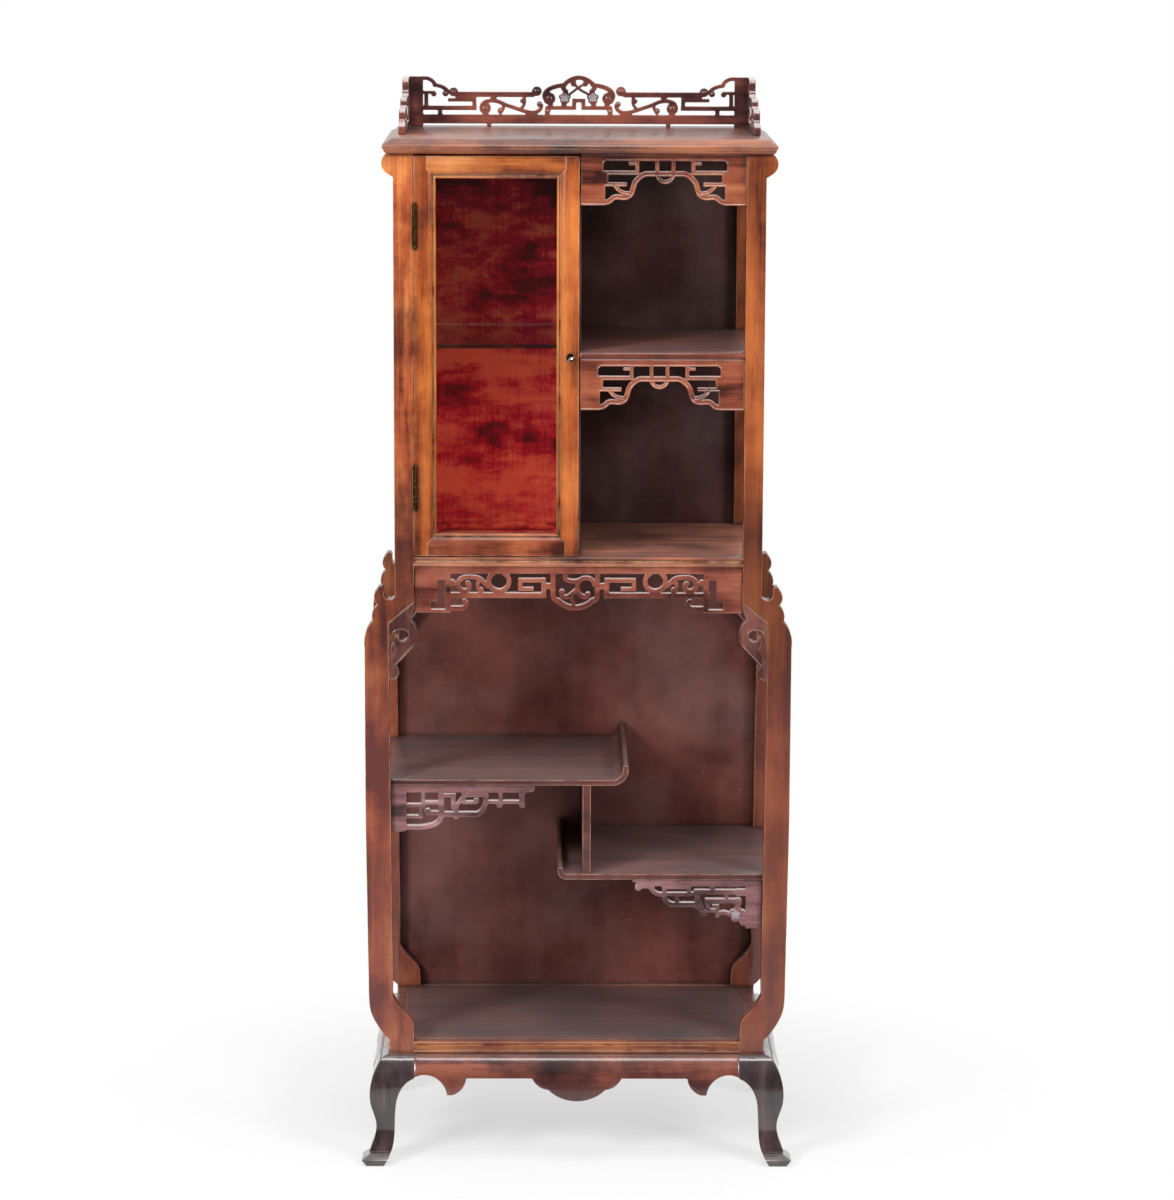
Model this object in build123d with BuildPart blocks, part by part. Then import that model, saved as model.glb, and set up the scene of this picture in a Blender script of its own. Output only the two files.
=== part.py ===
from build123d import *

import os
from math import atan2, cos, degrees, hypot, radians, sin

# Carved hardwood display cabinet of the Far Eastern export kind: a low stand on four cabriole legs,
# an open case with two stepped shelves, an upper case with a glazed door and two open
# compartments, and a pierced gallery on the cornice.
# Millimetres. +X is the cabinet's right as seen from the front, -Y is the front, +Z is up.
# The origin is on the floor, under the middle of the case.

os.makedirs("parts", exist_ok=True)

# ---------------------------------------------------------------- driving sizes
# Heights, from the floor up
stand_height = 177.5        # floor to the top of the leg blocks
base_rail_height = 19.5
lower_bay_height = 777.5    # bottom shelf to the underside of the middle floor
mid_floor_thickness = 16.0
upper_case_height = 634.5   # middle floor to the underside of the cornice
cornice_thickness = 23.0

# Plan
case_depth = 356.0          # front face of the front posts to the back of the back posts
upper_half_width = 290.5    # middle of the case to the outside of the upper post
upper_post_width = 30.5
lower_half_width = 339.0
lower_post_width = 38.0
post_thickness = 27.0
foot_step = 38.0            # outside of the post's foot, in from the bow of the post
foot_width = 38.0

# Stand
leg_block = 40.0            # square head of a leg
leg_head_overlap = 1.0      # leg head beyond the post's foot, at the sides
knee_flare = 30.5           # how far the knee stands out from the leg's head
ankle_flare = 23.2
toe_flare = 44.0
foot_pad_height = 11.5
foot_pad_inset = 7.0
ankle_width = 30.0
apron_strip = 20.0          # top strip of an apron, under the rails
apron_strip_height = 14.0
apron_drop = 34.0           # underside of an apron, below the stand's top
apron_pendant_depth = 37.0  # middle pendant, below the apron's underside

# Shelves and boards
shelf_thickness = 9.0
board_thickness = 8.0       # partition and upper left side
back_panel_thickness = 5.0
back_panel_rebate = 8.0     # how far the back panels lap the posts
upper_shelf_thickness = 12.0
upper_shelf_above_floor = 313.5   # middle floor to the underside of the upper right shelf
left_shelf_above_base = 422.0     # bottom shelf to the underside of the left shelf
right_shelf_above_base = 267.5
left_shelf_end_x = 81.5
left_shelf_curl = 33.0      # height of the turned-up end, from the shelf's underside
right_shelf_end_x = -32.0
right_shelf_curl = 20.0
shelf_curl_radius = 17.5
shelf_setback = 8.0         # shelf fronts behind the posts' faces
shelf_housing = 20.0        # how far a lower shelf runs in between front and back posts
divider_x = 14.5
divider_thickness = 13.0
partition_x = -1.0

# Fretwork
fret_thickness = 10.0
fret_setback = 4.0
arch_fret_drop = 79.5
long_fret_drop = 69.5
long_fret_lift = 4.5        # how far the long fret's top strip runs up to the middle floor
bracket_thickness = 20.0

# Cornice and gallery
cornice_overhang = 17.0
gallery_height = 81.0
gallery_thickness = 9.0
gallery_back_inset = 23.0   # gallery's back face in front of the case's back
gallery_side_inset = 32.5   # inner face of the gallery's sides, in from the end of the cornice
gallery_side_thickness = 10.5
gallery_side_depth = 235.0

# Door
door_gap = 1.0              # beside the hinge post
door_meeting_gap = 1.7      # between the door's free edge and the shelf and frets beside it
door_bottom_gap = 1.5
door_top_gap = 3.5
door_thickness = 21.0
door_frame_width = 35.0
door_moulding = 14.0
door_stop_gap = 0.5         # door's back to the partition's front edge
glass_thickness = 5.0
glass_edge = 2.2
glass_bevel = 25.0
glass_rebate = 6.0
glass_clearance = 0.5
glass_depth = 12.0          # door's face to the glass
door_free_edge_x = -0.5

# Hinges
hinge_length = 74.0
hinge_inset = 109.2         # door's end to the middle of the hinge
hinge_barrel_radius = 2.8
hinge_pin_radius = 1.2
hinge_leaf = 1.2
hinge_leaf_depth = 18.0
hinge_axis_x = 2.0          # axis from the door's hinged edge, towards the door
hinge_axis_y = 3.0          # axis in front of the door's face
finial_height = 3.0
screw_head_radius = 2.4
screw_radius = 1.2
screw_length = 12.0

# Lock
key_from_edge = 13.5
key_above_door = 315.0      # door's bottom to the key
key_angle = 33.0            # slant of the bow
key_radius = 2.0
key_reach = 26.0            # bow's end in front of the door
bow_width = 13.5
bow_length = 15.0
bow_thickness = 2.2
lock_width = 26.0
lock_height = 44.0
lock_depth = 10.5
lock_wall = 1.2
bolt_height = 8.0
bolt_thickness = 4.0
bolt_travel = 8.0
escutcheon_radius = 6.2
keyhole_radius = 4.6

# Linings and glass shelf
velvet = 1.5
lined_back_thickness = 3.0
glass_shelf_thickness = 8.0
glass_shelf_above_floor = 326.5
glass_shelf_setback = 18.0  # behind the door's back
peg_radius = 3.0
peg_length = 9.0

fit = 0.3                   # running clearance between moving pieces

# ---------------------------------------------------------------- derived levels and planes
z_floor = stand_height + base_rail_height
z_mid_under = z_floor + lower_bay_height
z_mid_top = z_mid_under + mid_floor_thickness
z_case_top = z_mid_top + upper_case_height
z_cornice_top = z_case_top + cornice_thickness

y_front = -case_depth / 2
y_back = case_depth / 2
y_front_post = y_front + post_thickness
y_back_post = y_back - post_thickness
y_panel = y_back - back_panel_thickness

upper_inner = upper_half_width - upper_post_width
lower_inner = lower_half_width - lower_post_width
foot_half_width = lower_half_width - foot_step
foot_inner = foot_half_width - foot_width
stand_half_width = foot_half_width + leg_head_overlap
stand_half_depth = case_depth / 2
leg_reach = stand_half_width + toe_flare
leg_blank = leg_reach + 50.0        # both profiles are sawn right through the leg

door_left = -(upper_inner - door_gap)
door_bottom = z_mid_top + door_bottom_gap
door_top = z_case_top - door_top_gap
door_back_y = y_front + door_thickness
partition_left = partition_x - board_thickness / 2
partition_right = partition_x + board_thickness / 2
axis_x = door_left + hinge_axis_x
axis_y = y_front - hinge_axis_y
key_x = door_free_edge_x - key_from_edge
key_z = door_bottom + key_above_door


# ---------------------------------------------------------------- helpers
def save(piece, name):
    """Label a finished piece and write it to its own file."""
    piece.part.label = name
    export_step(piece.part, f"parts/{name}.step")


def facing_plane(x, y, z):
    """Vertical plane facing the front, with its origin at (x, y, z)."""
    return Plane(origin=(x, y, z), x_dir=(1, 0, 0), z_dir=(0, -1, 0))


def block(x0, x1, z0, z1, mode=Mode.ADD):
    """Upright rectangle between two corners."""
    with Locations(((x0 + x1) / 2, (z0 + z1) / 2)):
        Rectangle(abs(x1 - x0), abs(z1 - z0), mode=mode)


def bar(x0, z0, x1, z1, width):
    """Square-ended fret bar along a centre line, half a width past each point."""
    turn = degrees(atan2(z1 - z0, x1 - x0))
    with Locations(Location(((x0 + x1) / 2, (z0 + z1) / 2, 0), (0, 0, turn))):
        Rectangle(hypot(x1 - x0, z1 - z0) + width, width)


def ball(x, z, radius, mode=Mode.ADD):
    """Round knob or volute of a fret."""
    with Locations((x, z)):
        Circle(radius, mode=mode)


def scroll(points, width):
    """Curved fret member of even width through its centre points, with round ends."""
    with BuildLine() as outline:
        Spline(*points)
    trace(outline.edges(), line_width=width)
    ball(*points[0], width / 2)
    ball(*points[-1], width / 2)


def blossom(x, z, reach, petal):
    """Five-petalled flower."""
    with Locations((x, z)):
        with PolarLocations(reach, 5, start_angle=90):
            Circle(petal)
        Circle(reach)


def box_piece(x0, x1, y0, y1, z0, z1, mode=Mode.ADD):
    """Rectangular block between two corners, in the active part."""
    with Locations(((x0 + x1) / 2, (y0 + y1) / 2, (z0 + z1) / 2)):
        Box(x1 - x0, y1 - y0, z1 - z0, mode=mode)


# ---------------------------------------------------------------- stand
def flare_points(half, side):
    """Points down the outer face of a leg: head, knee, ankle and toe."""
    def at(out, z):
        return (side * (half + out), z)

    return [
        at(0, stand_height),
        at(0.60 * knee_flare, 0.932 * stand_height),
        at(0.94 * knee_flare, 0.785 * stand_height),
        at(0.97 * knee_flare, 0.562 * stand_height),
        at(ankle_flare, 0.270 * stand_height),
        at(toe_flare - 12.5, 0.118 * stand_height),
        at(toe_flare, foot_pad_height),
    ]


def leg_outline(half, side):
    """Leg seen square on: S-curved outside and inside, on a chamfered pad."""
    inner_head = side * (half - leg_block)
    pad_inner = side * (half + toe_flare - ankle_width - 12.0)
    ankle_inner = side * (half + ankle_flare - ankle_width)
    with BuildLine() as outline:
        Spline(*flare_points(half, side), tangents=[(side, 0), (side, -0.6)])
        Polyline(
            (side * (half + toe_flare), foot_pad_height),
            (side * (half + toe_flare - foot_pad_inset), 0),
            (side * (half + toe_flare - ankle_width), 0),
            (pad_inner + side * 7.0, 0),
            (pad_inner + side * 1.0, foot_pad_height),
        )
        Spline(
            (pad_inner + side * 1.0, foot_pad_height),
            (ankle_inner, 0.21 * stand_height),
            (ankle_inner - side * 1.6, 0.38 * stand_height),
            (inner_head + side * 30.5, 0.49 * stand_height),
            (inner_head + side * 27.5, 0.62 * stand_height),
            (inner_head + side * 18.0, 0.735 * stand_height),
            (inner_head, apron_underside),
        )
        Polyline(
            (inner_head, apron_underside),
            (inner_head, stand_height),
            (side * half, stand_height),
        )
    make_face(outline.edges())


apron_underside = stand_height - apron_drop

for side_y, depth_name in ((-1, "front"), (1, "back")):
    for side_x, width_name in ((-1, "left"), (1, "right")):
        with BuildPart() as leg:
            with BuildSketch(Plane.XZ):
                leg_outline(stand_half_width, side_x)
            extrude(amount=leg_blank, both=True)
            with BuildSketch(Plane.YZ):
                leg_outline(stand_half_depth, side_y)
            extrude(amount=leg_blank, both=True, mode=Mode.INTERSECT)
        save(leg, f"leg_{depth_name}_{width_name}")


def apron_section(half, side):
    """Section of an apron: outside flared like the legs, with a strip under the rails."""
    outer = flare_points(half, side)
    inner = side * (half + 8.0)
    with BuildLine() as outline:
        Spline(*outer, tangents=[(side, 0), (side, -0.6)])
        Polyline(
            outer[-1],
            (inner, foot_pad_height),
            (inner, stand_height - apron_strip_height - 8.0),
            (side * (half - apron_strip), stand_height - apron_strip_height),
            (side * (half - apron_strip), stand_height),
            outer[0],
        )
    make_face(outline.edges())


def apron_outline(reach, pendant):
    """Front view of an apron: a small lobe near each leg and a pendant in the middle."""
    low = apron_underside
    lobe = low - 27.0
    with BuildLine() as outline:
        for side in (-1, 1):
            ThreePointArc(
                (side * reach, low + 1.0),
                (side * (reach - 37.0), low - 1.0),
                (side * (reach - 53.0), lobe),
            )
            Line((side * (reach - 53.0), lobe), (side * (reach - 61.0), lobe))
            ThreePointArc(
                (side * (reach - 61.0), lobe),
                (side * (reach - 76.0), low - 18.0),
                (side * (reach - 84.0), low),
            )
            Line((side * reach, stand_height + 1.0), (side * reach, low + 1.0))
            if pendant:
                Line((side * (reach - 84.0), low), (side * 72.0, low))
                ThreePointArc((side * 72.0, low), (side * 62.0, low - 12.0), (side * 46.0, low - 18.0))
        if pendant:
            depth = apron_pendant_depth
            ThreePointArc((-46.0, low - 18.0), (0, low - depth), (46.0, low - 18.0))
        else:
            Line((-(reach - 84.0), low), (reach - 84.0, low))
        Line((-reach, stand_height + 1.0), (reach, stand_height + 1.0))
    make_face(outline.edges())


apron_reach_x = stand_half_width - leg_block
apron_reach_y = stand_half_depth - leg_block

for side_y, name in ((-1, "apron_front"), (1, "apron_back")):
    with BuildPart() as apron:
        with BuildSketch(Plane.YZ):
            apron_section(stand_half_depth, side_y)
        extrude(amount=apron_reach_x, both=True)
        with BuildSketch(Plane.XZ):
            apron_outline(apron_reach_x, side_y < 0)
        extrude(amount=-side_y * leg_reach, mode=Mode.INTERSECT)
    save(apron, name)

for side_x, name in ((-1, "apron_left"), (1, "apron_right")):
    with BuildPart() as apron:
        with BuildSketch(Plane.XZ):
            apron_section(stand_half_width, side_x)
        extrude(amount=apron_reach_y, both=True)
        with BuildSketch(Plane.YZ):
            apron_outline(apron_reach_y, False)
        extrude(amount=side_x * leg_reach, mode=Mode.INTERSECT)
    save(apron, name)


# ---------------------------------------------------------------- base rails and bottom shelf
def beaded_edge(face, back, z0, z1, bead):
    """Section of a rail with a bead along each edge of its front face."""
    with BuildLine() as outline:
        Polyline((face + bead / 2, z0), (back, z0), (back, z1), (face + bead / 2, z1))
        ThreePointArc((face + bead / 2, z1), (face, z1 - bead / 2), (face + bead / 2, z1 - bead))
        Polyline(
            (face + bead / 2, z1 - bead),
            (face + bead / 2, z1 - bead - 0.8),
            (face + bead / 4, z1 - bead - 0.8),
            (face + bead / 4, z0 + bead + 0.8),
            (face + bead / 2, z0 + bead + 0.8),
            (face + bead / 2, z0 + bead),
        )
        ThreePointArc((face + bead / 2, z0 + bead), (face, z0 + bead / 2), (face + bead / 2, z0))
    make_face(outline.edges())


base_rail_depth = 18.0
base_bead = 5.0
base_board_thickness = 10.0
side_rail_inner = foot_half_width - 18.0

with BuildPart() as base_rail_front:
    with BuildSketch(Plane.YZ):
        beaded_edge(y_front, y_front + base_rail_depth, stand_height, z_floor, base_bead)
    extrude(amount=foot_inner, both=True)
save(base_rail_front, "base_rail_front")

with BuildPart() as base_rail_back:
    box_piece(-foot_inner, foot_inner, y_back - base_rail_depth, y_back, stand_height, z_floor)
save(base_rail_back, "base_rail_back")

for side, name in ((-1, "base_rail_left"), (1, "base_rail_right")):
    with BuildPart() as base_rail_side:
        outer = side * foot_half_width
        inner = side * side_rail_inner
        box_piece(min(outer, inner), max(outer, inner), y_front_post, y_back_post, stand_height, z_floor)
    save(base_rail_side, name)

with BuildPart() as bottom_shelf:
    with BuildSketch(Plane.XY.offset(z_floor - base_board_thickness)):
        Rectangle(2 * foot_inner, case_depth - 2 * base_rail_depth)
        Rectangle(2 * side_rail_inner, case_depth - 2 * post_thickness)
    extrude(amount=base_board_thickness)
save(bottom_shelf, "bottom_shelf")


# ---------------------------------------------------------------- posts
shoulder = z_mid_under - long_fret_lift     # the shoulder ornament hangs from this level
seam_low = shoulder - 86.0
seam_high = shoulder - 52.0


post_foot_top = z_floor + 108.0     # the foot's curve ends here and the long leg of the post begins
post_lean = 4.5                     # the leg of the post is this much closer in at its foot


def post_inside(z):
    """Distance of a lower post's inner face from the middle of the case, at height z."""
    return lower_inner - post_lean * (seam_low - z) / (seam_low - post_foot_top)


def post_outline(side):
    """Sawn outline of a post: ear under the cornice, horned shoulder, bowed leg and S-shaped foot."""
    out = upper_half_width
    low = lower_half_width
    inner = lower_inner

    def at(x, z):
        return (side * x, z)

    def horn(share):
        return out + share * (low - out)

    with BuildLine() as outline:
        Line(at(upper_inner, z_case_top), at(out + 10.5, z_case_top))
        ThreePointArc(at(out + 10.5, z_case_top), at(out + 18.0, z_case_top - 16.0), at(out + 9.0, z_case_top - 31.0))
        Line(at(out + 9.0, z_case_top - 31.0), at(out, z_case_top - 37.0))
        Line(at(out, z_case_top - 37.0), at(out, shoulder - 36.0))
        # notch and horn
        ThreePointArc(at(out, shoulder - 36.0), at(horn(0.20), shoulder - 48.5), at(horn(0.36), shoulder - 38.0))
        Line(at(horn(0.36), shoulder - 38.0), at(horn(0.36), shoulder - 31.0))
        ThreePointArc(at(horn(0.36), shoulder - 31.0), at(horn(0.44), shoulder - 27.0), at(horn(0.56), shoulder - 32.0))
        ThreePointArc(at(horn(0.56), shoulder - 32.0), at(horn(0.68), shoulder - 46.0), at(horn(0.56), shoulder - 57.0))
        # lobe and shoulder
        ThreePointArc(at(horn(0.56), shoulder - 57.0), at(horn(0.74), shoulder - 70.0), at(horn(0.72), shoulder - 82.5))
        ThreePointArc(at(horn(0.72), shoulder - 82.5), at(horn(0.92), shoulder - 97.0), at(low - 0.3, shoulder - 125.0))
        # long bowed outside
        ThreePointArc(at(low - 0.3, shoulder - 125.0), at(low - 0.2, shoulder - 370.0), at(low - 4.0, z_floor + 83.0))
        Spline(
            at(low - 4.0, z_floor + 83.0),
            at(low - 9.5, z_floor + 43.0),
            at(low - 20.5, z_floor + 23.0),
            at(foot_half_width + 1.0, z_floor + 4.0),
            tangents=[(0, -1), (-side, -0.75)],
        )
        Polyline(
            at(foot_half_width + 1.0, z_floor + 4.0),
            at(foot_half_width, stand_height),
            at(foot_inner, stand_height),
            at(foot_inner, z_floor + 12.0),
        )
        Spline(
            at(foot_inner, z_floor + 12.0),
            at(foot_inner + 4.0, z_floor + 37.0),
            at(foot_inner + 17.5, z_floor + 51.0),
            at(inner - 6.5, z_floor + 70.0),
            at(inner - post_lean, post_foot_top),
            tangents=[(0, 1), (0, 1)],
        )
        Polyline(
            at(inner - post_lean, post_foot_top),
            at(inner, seam_low),
            at(upper_inner, seam_high),
            at(upper_inner, z_case_top),
        )
    make_face(outline.edges())


panel_seam = z_mid_under + mid_floor_thickness / 2
panel_upper_half = upper_inner + back_panel_rebate
panel_lower_half = lower_inner + back_panel_rebate


def lower_panel_outline():
    """Lower back panel: as wide as the rebates of the posts, drawn in at its foot and head."""
    with BuildLine() as outline:
        right = [
            (foot_half_width - 6.0, z_floor),
            (foot_half_width + 5.0, z_floor + 38.0),
            (panel_lower_half, z_floor + 65.0),
            (panel_lower_half, seam_low),
            (panel_upper_half, seam_high + 4.0),
            (panel_upper_half, panel_seam),
        ]
        left = [(-x, z) for x, z in reversed(right)]
        Polyline(*right, *left, close=True)
    make_face(outline.edges())


def upper_panel_outline():
    """Upper back panel, lapping the upper posts."""
    block(-panel_upper_half, panel_upper_half, panel_seam, z_case_top)


hinge_centres = (door_bottom + hinge_inset, door_top - hinge_inset)
screw_steps = (-0.34 * hinge_length, 0.0, 0.34 * hinge_length)
screw_y = y_front + hinge_leaf_depth / 2 + 1.0

for side, width_name in ((-1, "left"), (1, "right")):
    with BuildPart() as front_post:
        with BuildSketch(Plane.XZ.offset(-y_front_post)):
            post_outline(side)
        extrude(amount=post_thickness)
        if side < 0:
            for z in hinge_centres:
                box_piece(
                    -upper_inner - hinge_leaf, -upper_inner, y_front, y_front + hinge_leaf_depth,
                    z - hinge_length / 2 + finial_height, z + hinge_length / 2 - finial_height,
                    mode=Mode.SUBTRACT,
                )
                for step in screw_steps:
                    hole = Plane(origin=(-upper_inner, screw_y, z + step), z_dir=(-1, 0, 0))
                    with BuildSketch(hole):
                        Circle(screw_radius + 0.1)
                    extrude(amount=screw_length + 0.2, mode=Mode.SUBTRACT)
    save(front_post, f"post_front_{width_name}")

    with BuildPart() as back_post:
        with BuildSketch(Plane.XZ.offset(-y_back)):
            post_outline(side)
        extrude(amount=post_thickness)
        with BuildSketch(Plane.XZ.offset(-y_back)):
            lower_panel_outline()
            upper_panel_outline()
        extrude(amount=back_panel_thickness, mode=Mode.SUBTRACT)
    save(back_post, f"post_back_{width_name}")


# ---------------------------------------------------------------- pierced scroll brackets
def bracket_outline(side):
    """C-scroll bracket in the corner of post and middle floor, with a comma-shaped piercing."""
    corner = lower_inner - upper_inner

    def at(share, z):
        return (side * (upper_inner + share * corner), shoulder + z)

    foot = ((side * post_inside(shoulder - 179.0)), shoulder - 179.0)
    drop_low = seam_low - shoulder
    drop_high = seam_high - shoulder
    with BuildLine() as outline:
        Line(at(1, drop_low), at(0, drop_high))
        Polyline(at(0, drop_high), at(0, -61.0), at(0.16, -81.0))
        ThreePointArc(at(0.16, -81.0), at(-0.02, -89.0), at(-0.13, -105.0))
        ThreePointArc(at(-0.13, -105.0), at(-0.10, -115.0), at(0.05, -125.0))
        Line(at(0.05, -125.0), at(0.73, -155.5))
        ThreePointArc(at(0.73, -155.5), at(0.60, -167.0), at(0.73, -177.0))
        Polyline(at(0.73, -177.0), foot, at(1, drop_low))
    make_face(outline.edges())
    with BuildLine() as outline:
        ThreePointArc(at(0.66, -109.5), at(0.24, -107.5), at(0.52, -97.5))
        Spline(at(0.52, -97.5), at(0.76, -101.0), at(0.89, -115.0), at(0.92, -134.0), at(0.90, -150.0))
        Spline(at(0.90, -150.0), at(0.79, -138.0), at(0.67, -128.0))
        ThreePointArc(at(0.67, -128.0), at(0.76, -119.0), at(0.71, -106.5))
        Line(at(0.71, -106.5), at(0.66, -109.5))
    make_face(outline.edges(), mode=Mode.SUBTRACT)


for front_y, depth_name in ((y_front, "front"), (y_back_post, "back")):
    for side, width_name in ((-1, "left"), (1, "right")):
        with BuildPart() as scroll_bracket:
            with BuildSketch(Plane.XZ.offset(-(front_y + bracket_thickness))):
                bracket_outline(side)
            extrude(amount=bracket_thickness)
        save(scroll_bracket, f"scroll_bracket_{depth_name}_{width_name}")


# ---------------------------------------------------------------- floors, shelves and boards
mid_side = upper_half_width - 4.0

with BuildPart() as mid_floor:
    with BuildSketch(Plane.YZ):
        beaded_edge(y_front, y_panel, z_mid_under, z_mid_top, 6.0)
    extrude(amount=mid_side, both=True)
    for side in (-1, 1):
        reach = sorted((side * upper_inner, side * (mid_side + 1.0)))
        box_piece(*reach, y_front - 1.0, y_front_post, z_mid_under - 1.0, z_mid_top + 1.0, mode=Mode.SUBTRACT)
        box_piece(*reach, y_back_post, y_panel + 1.0, z_mid_under - 1.0, z_mid_top + 1.0, mode=Mode.SUBTRACT)
save(mid_floor, "mid_floor")

z_upper_shelf = z_mid_top + upper_shelf_above_floor
shelf_left_x = door_free_edge_x + door_meeting_gap

with BuildPart() as upper_right_shelf:
    nose = upper_shelf_thickness / 2
    with BuildSketch(Plane.YZ.offset(shelf_left_x)):
        with BuildLine() as outline:
            top = z_upper_shelf + upper_shelf_thickness
            Polyline(
                (y_front + nose, z_upper_shelf), (y_panel, z_upper_shelf), (y_panel, top), (y_front + nose, top)
            )
            ThreePointArc(
                (y_front + nose, top), (y_front + 1.0, z_upper_shelf + nose), (y_front + nose, z_upper_shelf)
            )
        make_face(outline.edges())
    extrude(amount=mid_side - shelf_left_x)
    for y0, y1 in ((y_front - 1.0, y_front_post), (y_back_post, y_panel + 1.0)):
        box_piece(upper_inner, mid_side + 1.0, y0, y1, z_upper_shelf - 1.0, top + 1.0, mode=Mode.SUBTRACT)
    box_piece(
        shelf_left_x - 1.0, partition_right, door_back_y + door_stop_gap, y_panel + 1.0,
        z_upper_shelf - 1.0, top + 1.0, mode=Mode.SUBTRACT,
    )
save(upper_right_shelf, "upper_right_shelf")

lock_right = key_x + 6.0
lock_left = lock_right - lock_width
lock_bottom = key_z - lock_height / 2
bolt_bottom = key_z + 5.0
bolt_front = door_back_y + 3.5
peg_y = (y_front + 78.0, y_back_post - 48.0)
glass_shelf_bottom = z_mid_top + glass_shelf_above_floor
peg_z = glass_shelf_bottom - peg_radius
side_panel_left = -(mid_side - 2.0)
side_panel_right = side_panel_left + board_thickness

with BuildPart() as partition:
    box_piece(
        partition_left, partition_right, door_back_y + door_stop_gap, y_panel, z_mid_top, z_case_top
    )
    box_piece(
        partition_left, partition_left + bolt_travel - 2.0,
        bolt_front - fit, bolt_front + bolt_thickness + fit,
        bolt_bottom - fit, bolt_bottom + bolt_height + fit,
        mode=Mode.SUBTRACT,
    )
save(partition, "partition")

with BuildPart() as upper_left_side:
    box_piece(side_panel_left, side_panel_right, y_front_post, y_back_post, z_mid_top, z_case_top)
save(upper_left_side, "upper_left_side")

with BuildPart() as back_panel_lower:
    with BuildSketch(Plane.XZ.offset(-y_back)):
        lower_panel_outline()
    extrude(amount=back_panel_thickness)
save(back_panel_lower, "back_panel_lower")

with BuildPart() as back_panel_upper:
    with BuildSketch(Plane.XZ.offset(-y_back)):
        upper_panel_outline()
    extrude(amount=back_panel_thickness)
save(back_panel_upper, "back_panel_upper")


def curled_shelf(post_side, end_x, z_under, curl_height):
    """Shelf housed between the posts at one side, with its free end turned up in a quarter round."""
    t = shelf_thickness
    inner_r = min(shelf_curl_radius, curl_height - 1.5 * t - 0.5)
    outer_r = inner_r + t
    s = -post_side
    housed_x = post_side * (lower_inner + shelf_housing)
    bend_x = end_x - s * outer_r
    tip_z = z_under + curl_height
    with BuildSketch(Plane.XZ.offset(-y_panel)) as profile:
        with BuildLine() as outline:
            Line((housed_x, z_under), (bend_x, z_under))
            RadiusArc((bend_x, z_under), (end_x, z_under + outer_r), -s * outer_r)
            Line((end_x, z_under + outer_r), (end_x, tip_z - t / 2))
            ThreePointArc((end_x, tip_z - t / 2), (end_x - s * t / 2, tip_z), (end_x - s * t, tip_z - t / 2))
            Line((end_x - s * t, tip_z - t / 2), (end_x - s * t, z_under + outer_r))
            RadiusArc((end_x - s * t, z_under + outer_r), (bend_x, z_under + t), s * inner_r)
            Line((bend_x, z_under + t), (housed_x, z_under + t))
            Line((housed_x, z_under + t), (housed_x, z_under))
        make_face(outline.edges())
    extrude(profile.sketch, amount=y_panel - (y_front + shelf_setback))
    reach = sorted((post_side * post_inside(z_under), post_side * (lower_inner + shelf_housing + 1.0)))
    for y0, y1 in ((y_front, y_front_post), (y_back_post, y_panel + 1.0)):
        box_piece(*reach, y0, y1, z_under - 1.0, z_under + t + 1.0, mode=Mode.SUBTRACT)


z_left_shelf = z_floor + left_shelf_above_base
z_right_shelf = z_floor + right_shelf_above_base

with BuildPart() as left_shelf:
    curled_shelf(-1, left_shelf_end_x, z_left_shelf, left_shelf_curl)
save(left_shelf, "left_shelf")

with BuildPart() as right_shelf:
    curled_shelf(1, right_shelf_end_x, z_right_shelf, right_shelf_curl)
save(right_shelf, "right_shelf")

with BuildPart() as shelf_divider:
    box_piece(
        divider_x - divider_thickness / 2, divider_x + divider_thickness / 2,
        y_front + shelf_setback + 2.0, y_panel, z_right_shelf + shelf_thickness, z_left_shelf,
    )
save(shelf_divider, "shelf_divider")


# ---------------------------------------------------------------- cornice
def cornice_section(front, back):
    """Section of the top board: ogee edge in front, and the same behind unless back is plain."""
    top = z_cornice_top
    low = z_case_top
    with BuildLine() as outline:
        Line((front + 15.5, top), (back, top))
        Line((back, top), (back, low))
        Line((back, low), (front + 12.5, low))
        ThreePointArc((front + 12.5, low), (front + 4.5, low + 2.5), (front + 2.0, low + 8.0))
        ThreePointArc((front + 2.0, low + 8.0), (front, low + 11.5), (front + 2.0, low + 15.0))
        ThreePointArc((front + 2.0, low + 15.0), (front + 7.0, low + 17.0), (front + 11.0, low + 20.5))
        Line((front + 11.0, low + 20.5), (front + 15.5, top))
    make_face(outline.edges())


cornice_half = upper_half_width + cornice_overhang

with BuildPart() as cornice:
    with BuildSketch(Plane.YZ):
        cornice_section(y_front - cornice_overhang, y_back)
    extrude(amount=cornice_half, both=True)
    with BuildSketch(Plane.XZ):
        cornice_section(-cornice_half, 0)
        mirror(about=Plane.YZ)
    extrude(amount=case_depth, both=True, mode=Mode.INTERSECT)
save(cornice, "cornice")


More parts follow.
